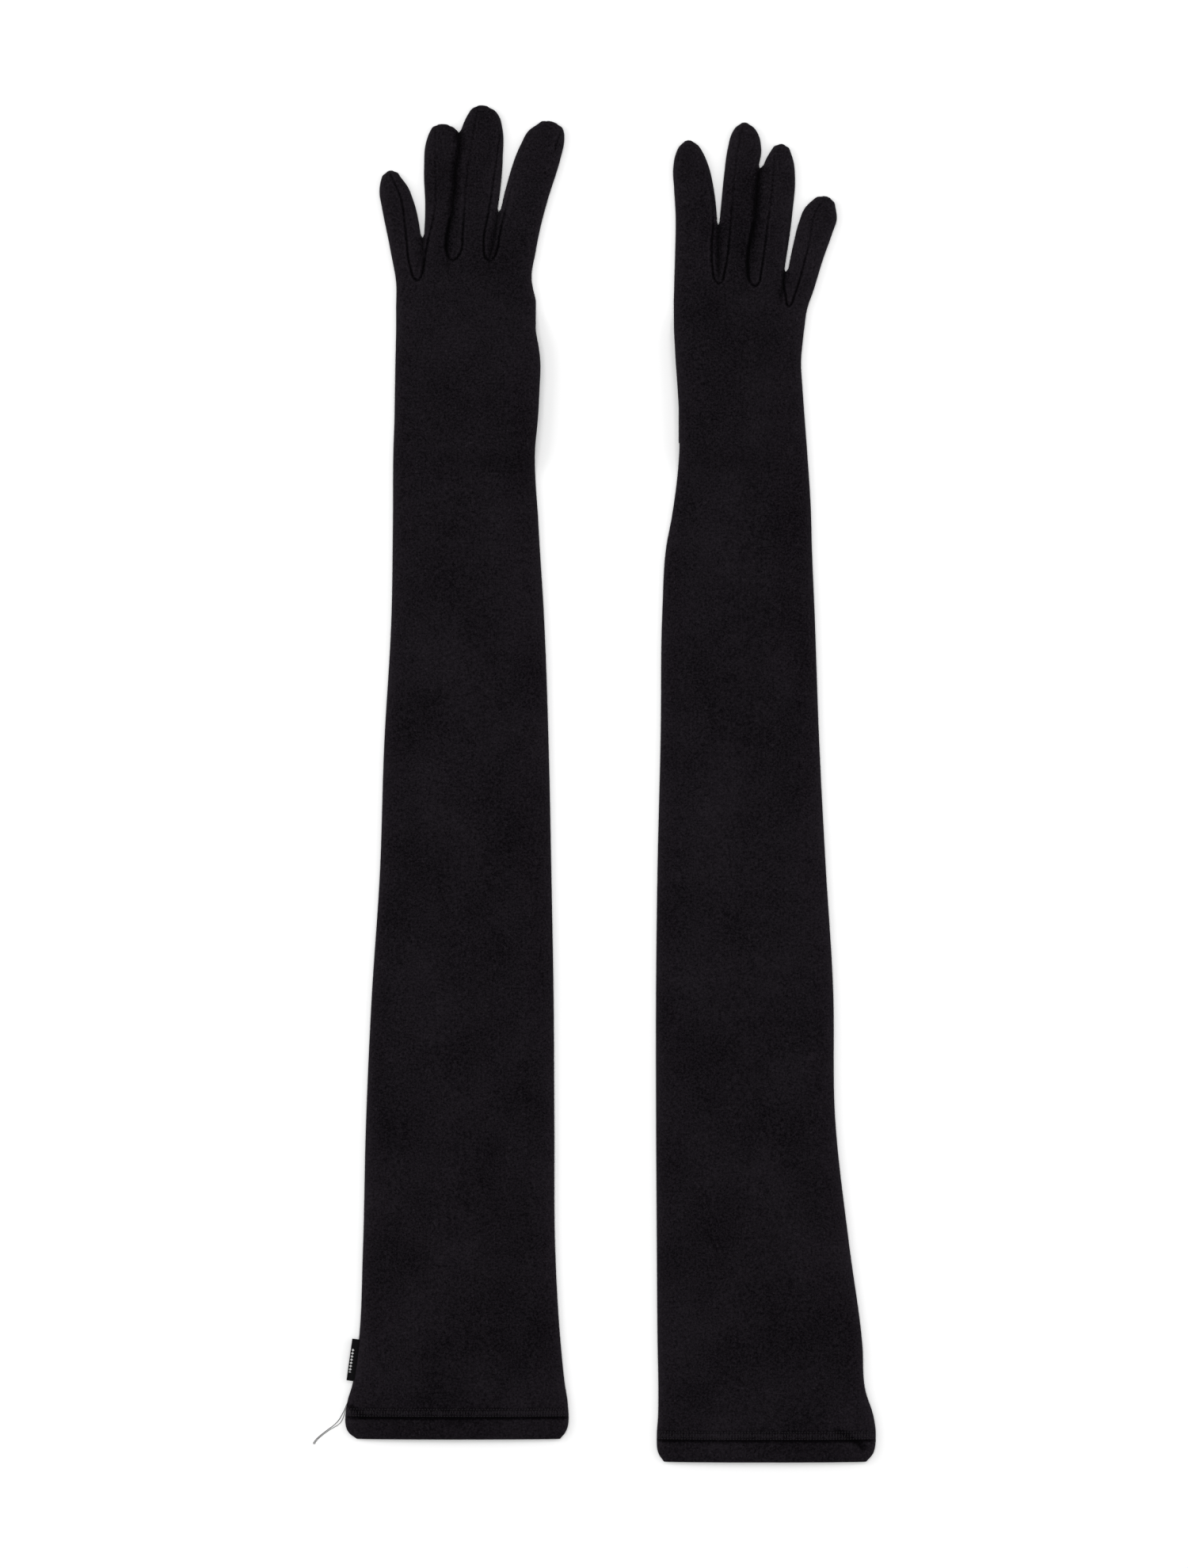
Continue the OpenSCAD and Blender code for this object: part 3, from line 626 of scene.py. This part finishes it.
for g in SIDES:
    hem_y = hems[g]
    stitches = []
    for over in (True, False):
        for row, y in enumerate((hem_y + HEM_DEPTH - ROW_GAP, hem_y + HEM_DEPTH)):
            low, high = sides_at(g, y)
            for x in np.arange(low + ROW_INSET, high - ROW_INSET, STITCH_PITCH):
                z = hem_height(g, x, y, over) + (0.08 if over else 0.12)
                stitches.append(((x, y, z), (1, 0), *STITCH))
                if row == 0 and over:
                    step = -STITCH_PITCH / 2 if round(x / STITCH_PITCH) % 2 else STITCH_PITCH / 2
                    z = hem_height(g, x, y + ROW_GAP / 2, True) + 0.02
                    stitches.append(((x, y + ROW_GAP / 2, z), (step, ROW_GAP), *LOOPER))
    seam = stitch_row(f"{g}_hem_coverstitch", stitches, stitch_black)
    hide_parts(f"{g}_hem_stitching")
    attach(seam, f"{g}_upper")

    rows = []
    for y in np.linspace(hem_y + 0.7, hem_y + HEM_DEPTH + 0.4, 20):
        low_x, high_x = sides_at(g, y)
        inset = CLOTH + 0.12
        spots, full = section(np.array([low_x + inset, y]), np.array([high_x - inset, y]), 40,
                              TUBE_ROLL - 0.5)
        tall = tube_height(g, spots) + cloth_waves(g, spots) * full - inset - 0.2
        rows.append(tube_loop(spots, full, np.full(len(spots), CLEAR + inset + 0.1),
                              CLEAR + tall))
    facing = sew_skin(f"{g}_hem_turning", rows, [knit_inside], cloth=THIN_CLOTH)
    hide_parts(f"{g}_hem_facing")
    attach(facing, f"{g}_upper")
    lay_cloth(facing, SLEEVE_FLAT, HEM_DEPTH)

# The hand, in one piece of jersey with the sleeve. Its back lies over the folded thumb, and its
# end at the knuckles is cut along the line where the four fingers begin.
FINGER_BASE = 12       # how far below its bending line a finger piece begins
HAND_FLAT = 165, 228   # width and length of the hand piece laid open and flat
FINGERS = ("little", "ring", "middle", "index")
FINGER_NODES = {
    "little": ("little", "little_fourchette"),
    "ring": ("ring_back", "ring_palm", "ring_fourchette_inner", "ring_fourchette_outer"),
    "middle": ("middle_back", "middle_palm", "middle_fourchette_inner",
               "middle_fourchette_outer"),
    "index": ("index", "index_fourchette"),
}
joints = {j["name"]: j for j in frame["joints"]}
fingers = {}
for g in SIDES:
    for f in FINGERS:
        hinge = joints[f"{g}_{f}_bend"]
        root = np.array(hinge["pos_m"][:2]) / MM
        along = np.array([hinge["axis"][1], -hinge["axis"][0]])
        across = np.array([along[1], -along[0]])
        rows = stations([f"{g}_{n}" for n in FINGER_NODES[f]], root, along, across, 3.5)
        edges = [root + rows[:, :1] * along + rows[:, i:i + 1] * across for i in (1, 2)]
        fingers[g, f] = {"root": root, "along": along, "across": across, "stops": rows[:, 0],
                         "edges": edges}


def in_order(g):
    """The fingers of a glove from -X to +X."""
    return FINGERS if SIDES[g] < 0 else FINGERS[::-1]


def knuckle_line(g):
    """The five ends of the fingers' first rows: [at the bending line, at the fingers' base]."""
    row = [fingers[g, f] for f in in_order(g)]
    ends = [row[0]["edges"][0][0]]
    ends += [(a["edges"][1][0] + b["edges"][0][0]) / 2 for a, b in zip(row, row[1:])]
    ends.append(row[-1]["edges"][1][0])
    base = [e - (0, FINGER_BASE) for e in ends]
    for i, side in ((0, 0), (4, 1)):
        base[i] = np.array([sides_at(g, base[i][1])[side], base[i][1]])
    return np.array(ends), np.array(base)


HAND_ROWS = 150
for g in SIDES:
    base = knuckle_line(g)[1]
    rows = []
    for t in np.linspace(0, 1, HAND_ROWS):
        y_ends = SLEEVE_END + t * (base[[0, 4], 1] - SLEEVE_END)
        a = np.array([sides_at(g, y_ends[0])[0], y_ends[0]])
        b = np.array([sides_at(g, y_ends[1])[1], y_ends[1]])
        spots, full = section(a, b, SLEEVE_ACROSS)
        share = (base[:, 0] - base[0, 0]) / (base[4, 0] - base[0, 0])
        bow = np.interp((spots[:, 0] - a[0]) / (b[0] - a[0]), share,
                        base[:, 1] - (base[0, 1] + share * (base[4, 1] - base[0, 1])))
        spots[:, 1] += t * bow
        low = palm_lift(g, spots)
        tall = tube_height(g, spots) + cloth_waves(g, spots) * full
        loop = tube_loop(spots, full, low, low + tall)
        edge = 0 if SIDES[g] < 0 else len(spots) - 1
        loop[edge, 0] -= SIDES[g] * SEAM_PULL
        rows.append(loop)
    hand = sew_skin(f"{g}_hand_cloth", rows, [knit, knit_inside])
    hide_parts(f"{g}_hand", f"{g}_hand_seam", f"{g}_finger_webs")
    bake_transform(hand)
    lay_cloth(hand, *HAND_FLAT)

# The fingers. Back and palm of each are cut with the hand; narrow strips, the fourchettes, are
# sewn in between them and end in a small round bottom below each crotch. The seams roll the
# cloth up a little on both sides, and a short dart shapes the tip of the forefinger.
# Each seam line is [distance from the bending line, distance towards the forefinger's side].
FORKS = {
    "left": [
        (("little", [(57.5, 1.5), (45, 4.4), (28, 3.6), (7, 2.3), (2, 3), (0.4, 4.6)]),
         ("ring", [(77, -4), (56, -3), (44, -2.2), (31, -3), (15, -6), (3, -7.6), (-0.8, -8.4)])),
        (("ring", [(30, 5.4), (24, 4.6), (18, 3.9), (12, 4.6), (9, 6.2), (8, 8.2)]),
         ("middle", [(85, -3), (67, -4.6), (45, -5.8), (18, -5.6), (9, -5.8), (5.6, -7.4)])),
        (("middle", [(73.5, 9.9), (49, 8.5), (33, 7.3), (12, 6), (7, 7.2), (5.3, 9.8)]),
         ("index", [(75.5, -13.4), (65, -15), (40, -15.2), (17, -13.7), (9, -12.7), (4.5, -13.3)])),
    ],
    "right": [
        (("index", [(48, -11.5), (40, -12.8), (27, -11.8), (14, -9.8), (4, -9.4), (-2.5, -10.2),
                    (-4.6, -12.1)]),
         ("middle", [(80, -1.8), (66, 1.3), (50, 2.7), (34, 3.7), (4, 6.6), (-1, 7.8)])),
        (("middle", [(30, -8), (22, -6.5), (7, -5.3), (-0.6, -6.4), (-3.9, -9.4)]),
         ("ring", [(67.5, 5.4), (52, 4.3), (26, 4.1), (5, 4.3), (0.5, 4.6)])),
        (("ring", [(47, -7.8), (29, -7.2), (8.6, -7.7), (2.8, -8), (-4, -10), (-9.8, -12.4)]),
         ("little", [(57, 0.9), (52, 2.9), (33, 1.5), (12, 0.3), (3.7, 0.3), (-0.7, 0.6)])),
    ],
}
DARTS = {"left": [(77.5, 1.2), (73, 0.9), (67.5, 1.3)], "right": [(67, 2.8), (61, 3.7)]}
GROOVE, GROOVE_HALF = 0.75, 0.5
ROLL, ROLL_OUT, ROLL_HALF = 0.3, 1.35, 0.6
FINGER_PUFF = 1.7
SLIM_WIDTH = 9         # a finger or thumb narrower than this lies lower
# Height along the glove where each pair of neighbouring fingers parts, from -X to +X.
GAP_TOPS = {"left": (287.5, 343, 301), "right": (294, 324, 269.5)}
GAP_SHADE = {"left": (0.12, 0.36, 0.14), "right": (0.14, 0.36, 0.2)}     # how dark each valley is
FINGER_ACROSS = 34
ROW_STEP = 0.9
FINGER_FLAT = 44       # width of a finger laid open and flat, all the way round
FORMING = (-10, 12)    # stretch over which a finger takes its own round form
FINGER_BEND = 10

SEAM_STEPS = 8         # steps in each stretch of a seam line
FORK_REACH = 30        # how far from a fork's bottom the seams are pulled tightest
FORK_PULL = 1.1        # strength of the seams at a fork's bottom
CLEAR_SIDE = 0.65      # strength of the seam that runs up the near finger, away from its fork
FAINT_SIDE = 0.32      # the same for the far finger
DART_PULL = 0.6        # strength of the dart at the forefinger's tip


def from_finger(g, f, line):
    """Spots given along and across a finger, towards the forefinger's side, on the glove."""
    shape = fingers[g, f]
    return [shape["root"] + s * shape["along"] - x * SIDES[g] * shape["across"] for s, x in line]


seam_lines = {}        # for each glove: (spots of a seam, where its fork's bottom is, or nothing)
for g, forks in FORKS.items():
    dart = from_finger(g, "index", DARTS[g])
    seam_lines[g] = [(smooth_line(dart, [SEAM_STEPS] * (len(dart) - 1)), None)]
    for (first, down), (second, up) in forks:
        line = from_finger(g, first, down) + from_finger(g, second, up)[::-1]
        seam_lines[g].append((smooth_line(line, [SEAM_STEPS] * (len(line) - 1)),
                              SEAM_STEPS * (len(down) - 1)))


def seam_relief(g, spots):
    """(rise and fall of the cloth beside the finger seams, the painted light and shade there)."""
    relief, painted_shading = 0, 0
    for line, bottom in seam_lines[g]:
        d = near_line(spots, line)
        pull = DART_PULL
        if bottom:
            near = np.linalg.norm(spots[:, None] - line[None], axis=2).argmin(axis=1)
            fork = np.linalg.norm(spots - line[bottom], axis=1)
            far = np.where(near > bottom, FAINT_SIDE, CLEAR_SIDE)
            pull = far + (FORK_PULL - far) * np.exp(-(fork / FORK_REACH) ** 2)
        groove = pull * np.exp(-(d / GROOVE_HALF) ** 2)
        rolled = pull * np.exp(-((d - ROLL_OUT) / ROLL_HALF) ** 2)
        relief = relief + ROLL * rolled - GROOVE * groove
        # Painted shade in each seam's groove, and a faint painted highlight on the rolled cloth
        # beside it.
        painted_shading = painted_shading + 0.15 * rolled - 0.42 * groove
    return relief, painted_shading


TIP_BULGE = 0.7        # how far the rounding of a fingertip stands out beyond its corners
VALLEY = 2.3           # width of the shade between two fingers that touch
SQUEEZE = 0.04, 0.4    # how far two fingers press into each other, in the hand and beyond it


def close_gap(line, outward, squeeze, other, top):
    """Brings the edges of two neighbouring fingers together up to where their gap opens.

    outward is the way out of the finger at each spot and squeeze how far it is pressed into
    its neighbour. Returns the edge, and how closed the gap is at each of its spots."""
    moved, shares = line.copy(), np.zeros(len(line))
    for i, spot in enumerate(line):
        far = np.linalg.norm(other - spot, axis=1)
        shares[i] = ease((top + 1.5 - spot[1]) / 3) * (far.min() < 6)
        reach = other[far.argmin()] - spot
        moved[i] = spot + shares[i] * (0.5 * reach + squeeze[i] * outward[i])
    return moved, shares


def finger_edges(g, f, side):
    """One edge of a finger from its base to its tip, as its own corners."""
    ends, base = knuckle_line(g)
    i = in_order(g).index(f) + side
    return np.vstack([base[i], ends[i], fingers[g, f]["edges"][side][1:]])


def finger_rows(g, f):
    """Loops along one finger, from its base in the hand to its tip, and their painted light and
    shade.
    """
    order = in_order(g)
    place = order.index(f)
    shape = fingers[g, f]
    stops = np.concatenate([[-FINGER_BASE, 0], shape["stops"][1:]])
    lines = [finger_edges(g, f, side) for side in (0, 1)]
    tip_gap = lines[1][-1] - lines[0][-1]
    beyond = shape["along"] * (0.05 * np.linalg.norm(tip_gap) + 0.25)
    for side, inward in ((0, tip_gap), (1, -tip_gap)):
        before, last = lines[side][-2:]
        out = np.array([last[1] - before[1], before[0] - last[0]])
        out *= -np.sign(out @ inward) * TIP_BULGE / np.linalg.norm(out)
        lines[side] = np.vstack([lines[side][:-1], (before + last) / 2 + out, last,
                                 last + beyond + inward * 0.14])
    stops = np.concatenate([stops[:-1], [stops[-2:].mean(), stops[-1],
                                         stops[-1] + np.linalg.norm(beyond)]])
    parts = [max(3, int(round(gap / ROW_STEP))) for gap in np.diff(stops)]
    lows, highs = (smooth_line(line, parts) for line in lines)
    at = smooth_line(np.column_stack([stops, 0 * stops]), parts)[:, 0]
    owns = ease((at - FORMING[0]) / (FORMING[1] - FORMING[0]))
    squeeze = SQUEEZE[0] + (SQUEEZE[1] - SQUEEZE[0]) * owns
    out = (highs - lows) / np.linalg.norm(highs - lows, axis=1)[:, None]
    shut = [np.zeros(len(at)), np.zeros(len(at))]
    if place > 0:
        near = finger_edges(g, order[place - 1], 1)
        lows, shut[0] = close_gap(lows, -out, squeeze, smooth_line(near, [40] * (len(near) - 1)),
                                  GAP_TOPS[g][place - 1])
    if place < 3:
        near = finger_edges(g, order[place + 1], 0)
        highs, shut[1] = close_gap(highs, out, squeeze, smooth_line(near, [40] * (len(near) - 1)),
                                   GAP_TOPS[g][place])
    inner = (place > 0, place < 3)
    loops, painted_light = [], []
    for a, b, s, own, shut_a, shut_b in zip(lows, highs, at, owns, *shut):
        spots, full = section(a, b, FINGER_ACROSS,
                              square=tuple((1 - own) if n else 0 for n in inner))
        width = np.linalg.norm(b - a)
        share = np.linalg.norm(spots - a, axis=1) / width
        slim = min(1, width / SLIM_WIDTH)
        puff = FINGER_PUFF * slim * (4 * share * (1 - share)) ** 0.6
        low = (1 - own) * palm_lift(g, spots) + own * CLEAR
        tall = (1 - own) * tube_height(g, spots) + own * (EDGE_H * (0.75 + 0.25 * slim) + puff)
        relief, painted_shading = seam_relief(g, spots)
        # Painted shade in the valley where this finger touches a neighbour, mixed toward
        # SEAM_SHADE.
        valley_shade = 0 * full
        for end, closed, gap in ((a, shut_a, place - 1), (b, shut_b, place)):
            if closed:
                line, bottom = seam_lines[g][1 + gap]
                above = ease((spots[:, 1] - line[bottom][1]) / 8)
                away = np.linalg.norm(spots - end, axis=1)
                valley_shade = valley_shade + GAP_SHADE[g][gap] * closed * above * np.exp(-(away / VALLEY) ** 2)
        painted_shading = painted_shading - valley_shade
        top = low + tall + (cloth_waves(g, spots) * (1 - 0.4 * own) + relief) * full
        loop = tube_loop(spots, full, low, top)
        if s > at[-1] - 0.001:
            loop[:, 2] = CLEAR + EDGE_H / 2 + (loop[:, 2] - CLEAR - EDGE_H / 2) * 0.1
        edge = 0 if SIDES[g] < 0 else len(spots) - 1
        if f == "little":
            loop[edge, 0] -= SIDES[g] * SEAM_PULL * (1 - own)
        loops.append(loop)
        # The painted light and shade of each loop: seam shade and highlight on top, valley shade
        # all round, and a painted glow along the edges that is left off the inner edges where
        # fingers touch.
        flat = np.concatenate([painted_shading * full - valley_shade * (1 - full), -valley_shade[1:-1][::-1]])
        lightening = edge_glow(loop[None])[0]
        for end in (0, 1):
            flat += lightening[:, end] * (own * (1 - (shut_a, shut_b)[end]) if inner[end] else 1)
        painted_light.append(flat)
    heart = loops[-1].mean(axis=0) + np.array([*(shape["along"] * 0.25), 0])
    loops.append(np.repeat(heart[None], len(loops[-1]), axis=0))
    painted_light.append(np.zeros(len(loops[-1])))
    return loops, np.array(painted_light)


for g in SIDES:
    for f in FINGERS:
        loops, painted_light = finger_rows(g, f)
        finger = sew_skin(f"{g}_{f}_finger", loops, [knit, knit_inside], cloth=THIN_CLOTH,
                          painted_light=painted_light)
        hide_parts(*(f"{g}_{n}" for n in FINGER_NODES[f]))
        shape = fingers[g, f]
        ends = [shape["root"] + s * shape["along"] for s in (-FINGER_BEND, FINGER_BEND)]
        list(ends[0] * MM)
        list(ends[1] * MM)
        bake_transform(finger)
        lay_cloth(finger, FINGER_FLAT, shape["stops"][-1] + FINGER_BASE)

# The thumb, a tube of jersey set in with a gusset and folded flat under the palm. It opens
# outwards about the forefinger's edge of the hand.
THUMB_PUFF = 1.4
THUMB_ACROSS = 26
THUMB_STOPS = np.array([0.01, 0.1, 0.25, 0.42, 0.58, 0.72, 0.84, 0.93, 0.985])
THUMB_FLAT = 82, 46    # round the thumb's root, and from there to its tip, laid open and flat
for g in SIDES:
    low_box, high_box = (np.array(c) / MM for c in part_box(f"{g}_thumb"))
    tip_x = low_box[0] if SIDES[g] < 0 else high_box[0]
    root_end = high_box[0] if SIDES[g] < 0 else low_box[0]
    reach = tip_x - root_end
    rows = slices([f"{g}_thumb"], X, Y, root_end + reach * THUMB_STOPS)
    rows = rows[np.argsort(rows[:, 0] * SIDES[g])]
    parts = [9] * (len(rows) - 1)
    lows, highs = (smooth_line(rows[:, [0, i]], parts) for i in (1, 2))
    if SIDES[g] > 0:
        lows, highs = highs, lows
    loops = []
    for a, b in zip(lows, highs):
        spots, full = section(a, b, THUMB_ACROSS)
        width = np.linalg.norm(b - a)
        share = np.linalg.norm(spots - a, axis=1) / width
        slim = min(1, width / SLIM_WIDTH)
        top = CLEAR + EDGE_H * (0.7 + 0.3 * slim) - 0.2 + THUMB_PUFF * slim \
            * (4 * share * (1 - share)) ** 0.6
        loops.append(tube_loop(spots, full, np.full(len(spots), CLEAR), top))
    heart = loops[-1].mean(axis=0)
    loops.append(np.repeat(heart[None], len(loops[-1]), axis=0))
    thumb = sew_skin(f"{g}_thumb_cloth", loops, [knit, knit_inside], cloth=THIN_CLOTH)
    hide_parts(f"{g}_thumb")
    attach(thumb, f"{g}_thumb_part")
    lay_cloth(thumb, *THUMB_FLAT)

# The thumb's gusset: a narrow strip of jersey that joins the palm to the root of the thumb.
GUSSET_LENGTH, GUSSET_WIDTH = 46, 25
GUSSET_SHARE = 0.85    # the part of that oblong the tapered gusset covers
GUSSET_PATH = [(-15, 6.0), (-9, 6.05), (-4, 6.1), (-0.8, 5.95), (0.9, 5.2), (1.5, 4.0), (1.3, 2.6),
               (0.3, 1.3), (-1.5, 0.75)]     # distance out from the fold line, height


def cloth_strip(name, rows, materials, cloth):
    """A strip of cloth through rows of spots, with a thickness."""
    rows = np.array(rows)
    bpy.ops.object.select_all(action="DESELECT")
    bpy.ops.mesh.primitive_grid_add(x_subdivisions=rows.shape[1] - 1,
                                    y_subdivisions=rows.shape[0] - 1, size=1)
    piece = bpy.context.object
    piece.name = piece.data.name = name
    piece.data.vertices.foreach_set("co", (rows.reshape(-1, 3) * MM).astype(np.float32).ravel())
    across = np.concatenate([[0], np.cumsum(np.linalg.norm(np.diff(rows[0], axis=0), axis=1))])
    along = np.concatenate([[0], np.cumsum(np.linalg.norm(np.diff(rows[:, 0], axis=0), axis=1))])
    grid = np.stack(np.meshgrid(across, along), axis=-1).reshape(-1, 2)
    corner = np.zeros(len(piece.data.loops), np.int32)
    piece.data.loops.foreach_get("vertex_index", corner)
    uv = piece.data.uv_layers[0]
    uv.name = "cloth"
    uv.data.foreach_set("uv", (grid[corner] * MM).astype(np.float32).ravel())
    for material in materials:
        piece.data.materials.append(material)
    piece.data.update()
    wall = piece.modifiers.new("cloth", "SOLIDIFY")
    wall.thickness = cloth * MM
    wall.offset = 0
    bpy.ops.object.modifier_apply(modifier="cloth")
    bpy.ops.object.shade_smooth_by_angle(angle=math.radians(50))
    return piece


fourchette_knit = knit_material("fourchette_knit", KNIT_BLACK, KNIT_FLUFF_AND_GLOW, 1.15)
for g in SIDES:
    hinge = joints[f"{g}_thumb_fold"]
    fold_x, fold_y = (c / MM for c in hinge["pos_m"][:2])
    out = -SIDES[g]
    path = smooth_line(GUSSET_PATH, [4] * (len(GUSSET_PATH) - 1))
    ys = np.linspace(-GUSSET_LENGTH / 2, GUSSET_LENGTH / 2, 47)
    rows = []
    for step, z in path:
        taper = 1 - 0.45 * ease(-step / 15)
        rows.append([(fold_x + out * step, fold_y + y * taper, z) for y in ys])
    gusset = cloth_strip(f"{g}_thumb_gusset_cloth", rows, [fourchette_knit], 0.45)
    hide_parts(f"{g}_thumb_gusset")
    (fold_x + out * 1) * MM
    fold_y * MM
    (fold_x + out * 1) * MM
    fold_y * MM
    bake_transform(gusset)
    lay_cloth(gusset, GUSSET_LENGTH, GUSSET_WIDTH,
              area=GUSSET_LENGTH * GUSSET_WIDTH * GUSSET_SHARE)

# The two labels of the left glove: a small satin flag label, folded double and caught in the
# side seam, with a row of plain woven lozenges, and a blank care label inside the sleeve.
LABEL_BLACK = (0.0016, 0.0014, 0.0019, 1)
LABEL_THREAD = (0.4, 0.4, 0.4, 1)
LOZENGE_PITCH = 1.7
LOZENGE_WIDE = 0.95    # half the width of a lozenge
LOZENGES = 4.2, 17.2   # where the row of lozenges starts and ends along the label
LABEL_FOLD = 0.28
PRINT_EDGE = 12        # how sharp a lozenge's edge is
ROW_END = 4000         # how sharply the row of lozenges starts and ends
TUCK = 2.2             # the part of the label that goes into the seam
TUCK_SINK = 1.2        # how far that part slopes down

flap = joints["flag_label_flap"]
root = np.array(flap["pos_m"]) / MM
run = np.array(flap["axis"], float)
outward = np.array([-run[1], run[0], 0])
low_box, high_box = (np.array(c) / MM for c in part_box("flag_label"))
flag_length = float((high_box - low_box)[1] / run[1]) - 0.4
flag_reach = float(-(low_box[0] - root[0])) - abs(run[0]) * flag_length / 2
half_round = TUCK + flag_reach + LABEL_FOLD    # from the label's inner edge to its fold

label_satin, shader, sums = new_material("label_satin", roughness=0.7, sheen=0.02, specular=0.06)
across, along = cloth_grid(sums)
weave = (0.5 + 0.5 * (across * (2 * math.pi / (0.16 * MM))).sine()) \
    * (0.5 + 0.5 * (along * (2 * math.pi / (0.2 * MM))).sine())
from_fold = abs(across - half_round * MM)
spot = 2 * abs((along / (LOZENGE_PITCH * MM)).part() - 0.5) \
    + abs(from_fold - flag_reach / 2 * MM) / (LOZENGE_WIDE * MM)
in_row = ((along - LOZENGES[0] * MM) * ROW_END).clamped() \
    * ((LOZENGES[1] * MM - along) * ROW_END).clamped()
lozenge = ((0.85 - spot) * PRINT_EDGE).clamped() * in_row
feed(shader, "Base Color", sums.node("ShaderNodeMix", {"data_type": "RGBA"}, out=2, i0=lozenge,
                                     i6=LABEL_BLACK, i7=LABEL_THREAD))
feed(shader, "Roughness", 0.75 - 0.15 * weave)
feed(shader, "Normal", sums.node("ShaderNodeBump", Strength=0.4, Distance=0.04 * MM,
                                 Height=weave + lozenge))
turn = np.linspace(-math.pi / 2, math.pi / 2, 9)
folded = flag_reach - LABEL_FOLD
profile = [(t, -LABEL_FOLD) for t in np.linspace(-TUCK, folded, 12)[:-1]] \
    + [(folded + LABEL_FOLD * math.cos(t), LABEL_FOLD * math.sin(t)) for t in turn] \
    + [(t, LABEL_FOLD) for t in np.linspace(folded, -TUCK, 12)[1:]]
rows = []
for s in np.linspace(-flag_length / 2, flag_length / 2, 45):
    wave = 0.12 * math.sin(s / 3.1)
    rows.append([root + run * s + outward * t
                 + (0, 0, z + wave * max(t, 0) / flag_reach - TUCK_SINK * max(-t, 0) / TUCK)
                 for t, z in profile])
flag = cloth_strip("flag_label_satin", rows, [label_satin], 0.22)
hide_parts("flag_label")
ends = [root + outward * t for t in (-0.5, 0.2)]
tuple(ends[0] * MM)
tuple(ends[1] * MM)
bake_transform(flag)

low_box, high_box = (np.array(c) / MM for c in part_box("care_label"))
rows = []
for y in np.linspace(low_box[1], high_box[1], 30):
    rows.append([(x, y, low_box[2] + 0.45 + 0.25 * math.sin((y + x) / 5))
                 for x in np.linspace(low_box[0], high_box[0], 16)])
care = cloth_strip("care_label_satin", rows, [label_satin], 0.2)
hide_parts("care_label")
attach(care, "left_upper")
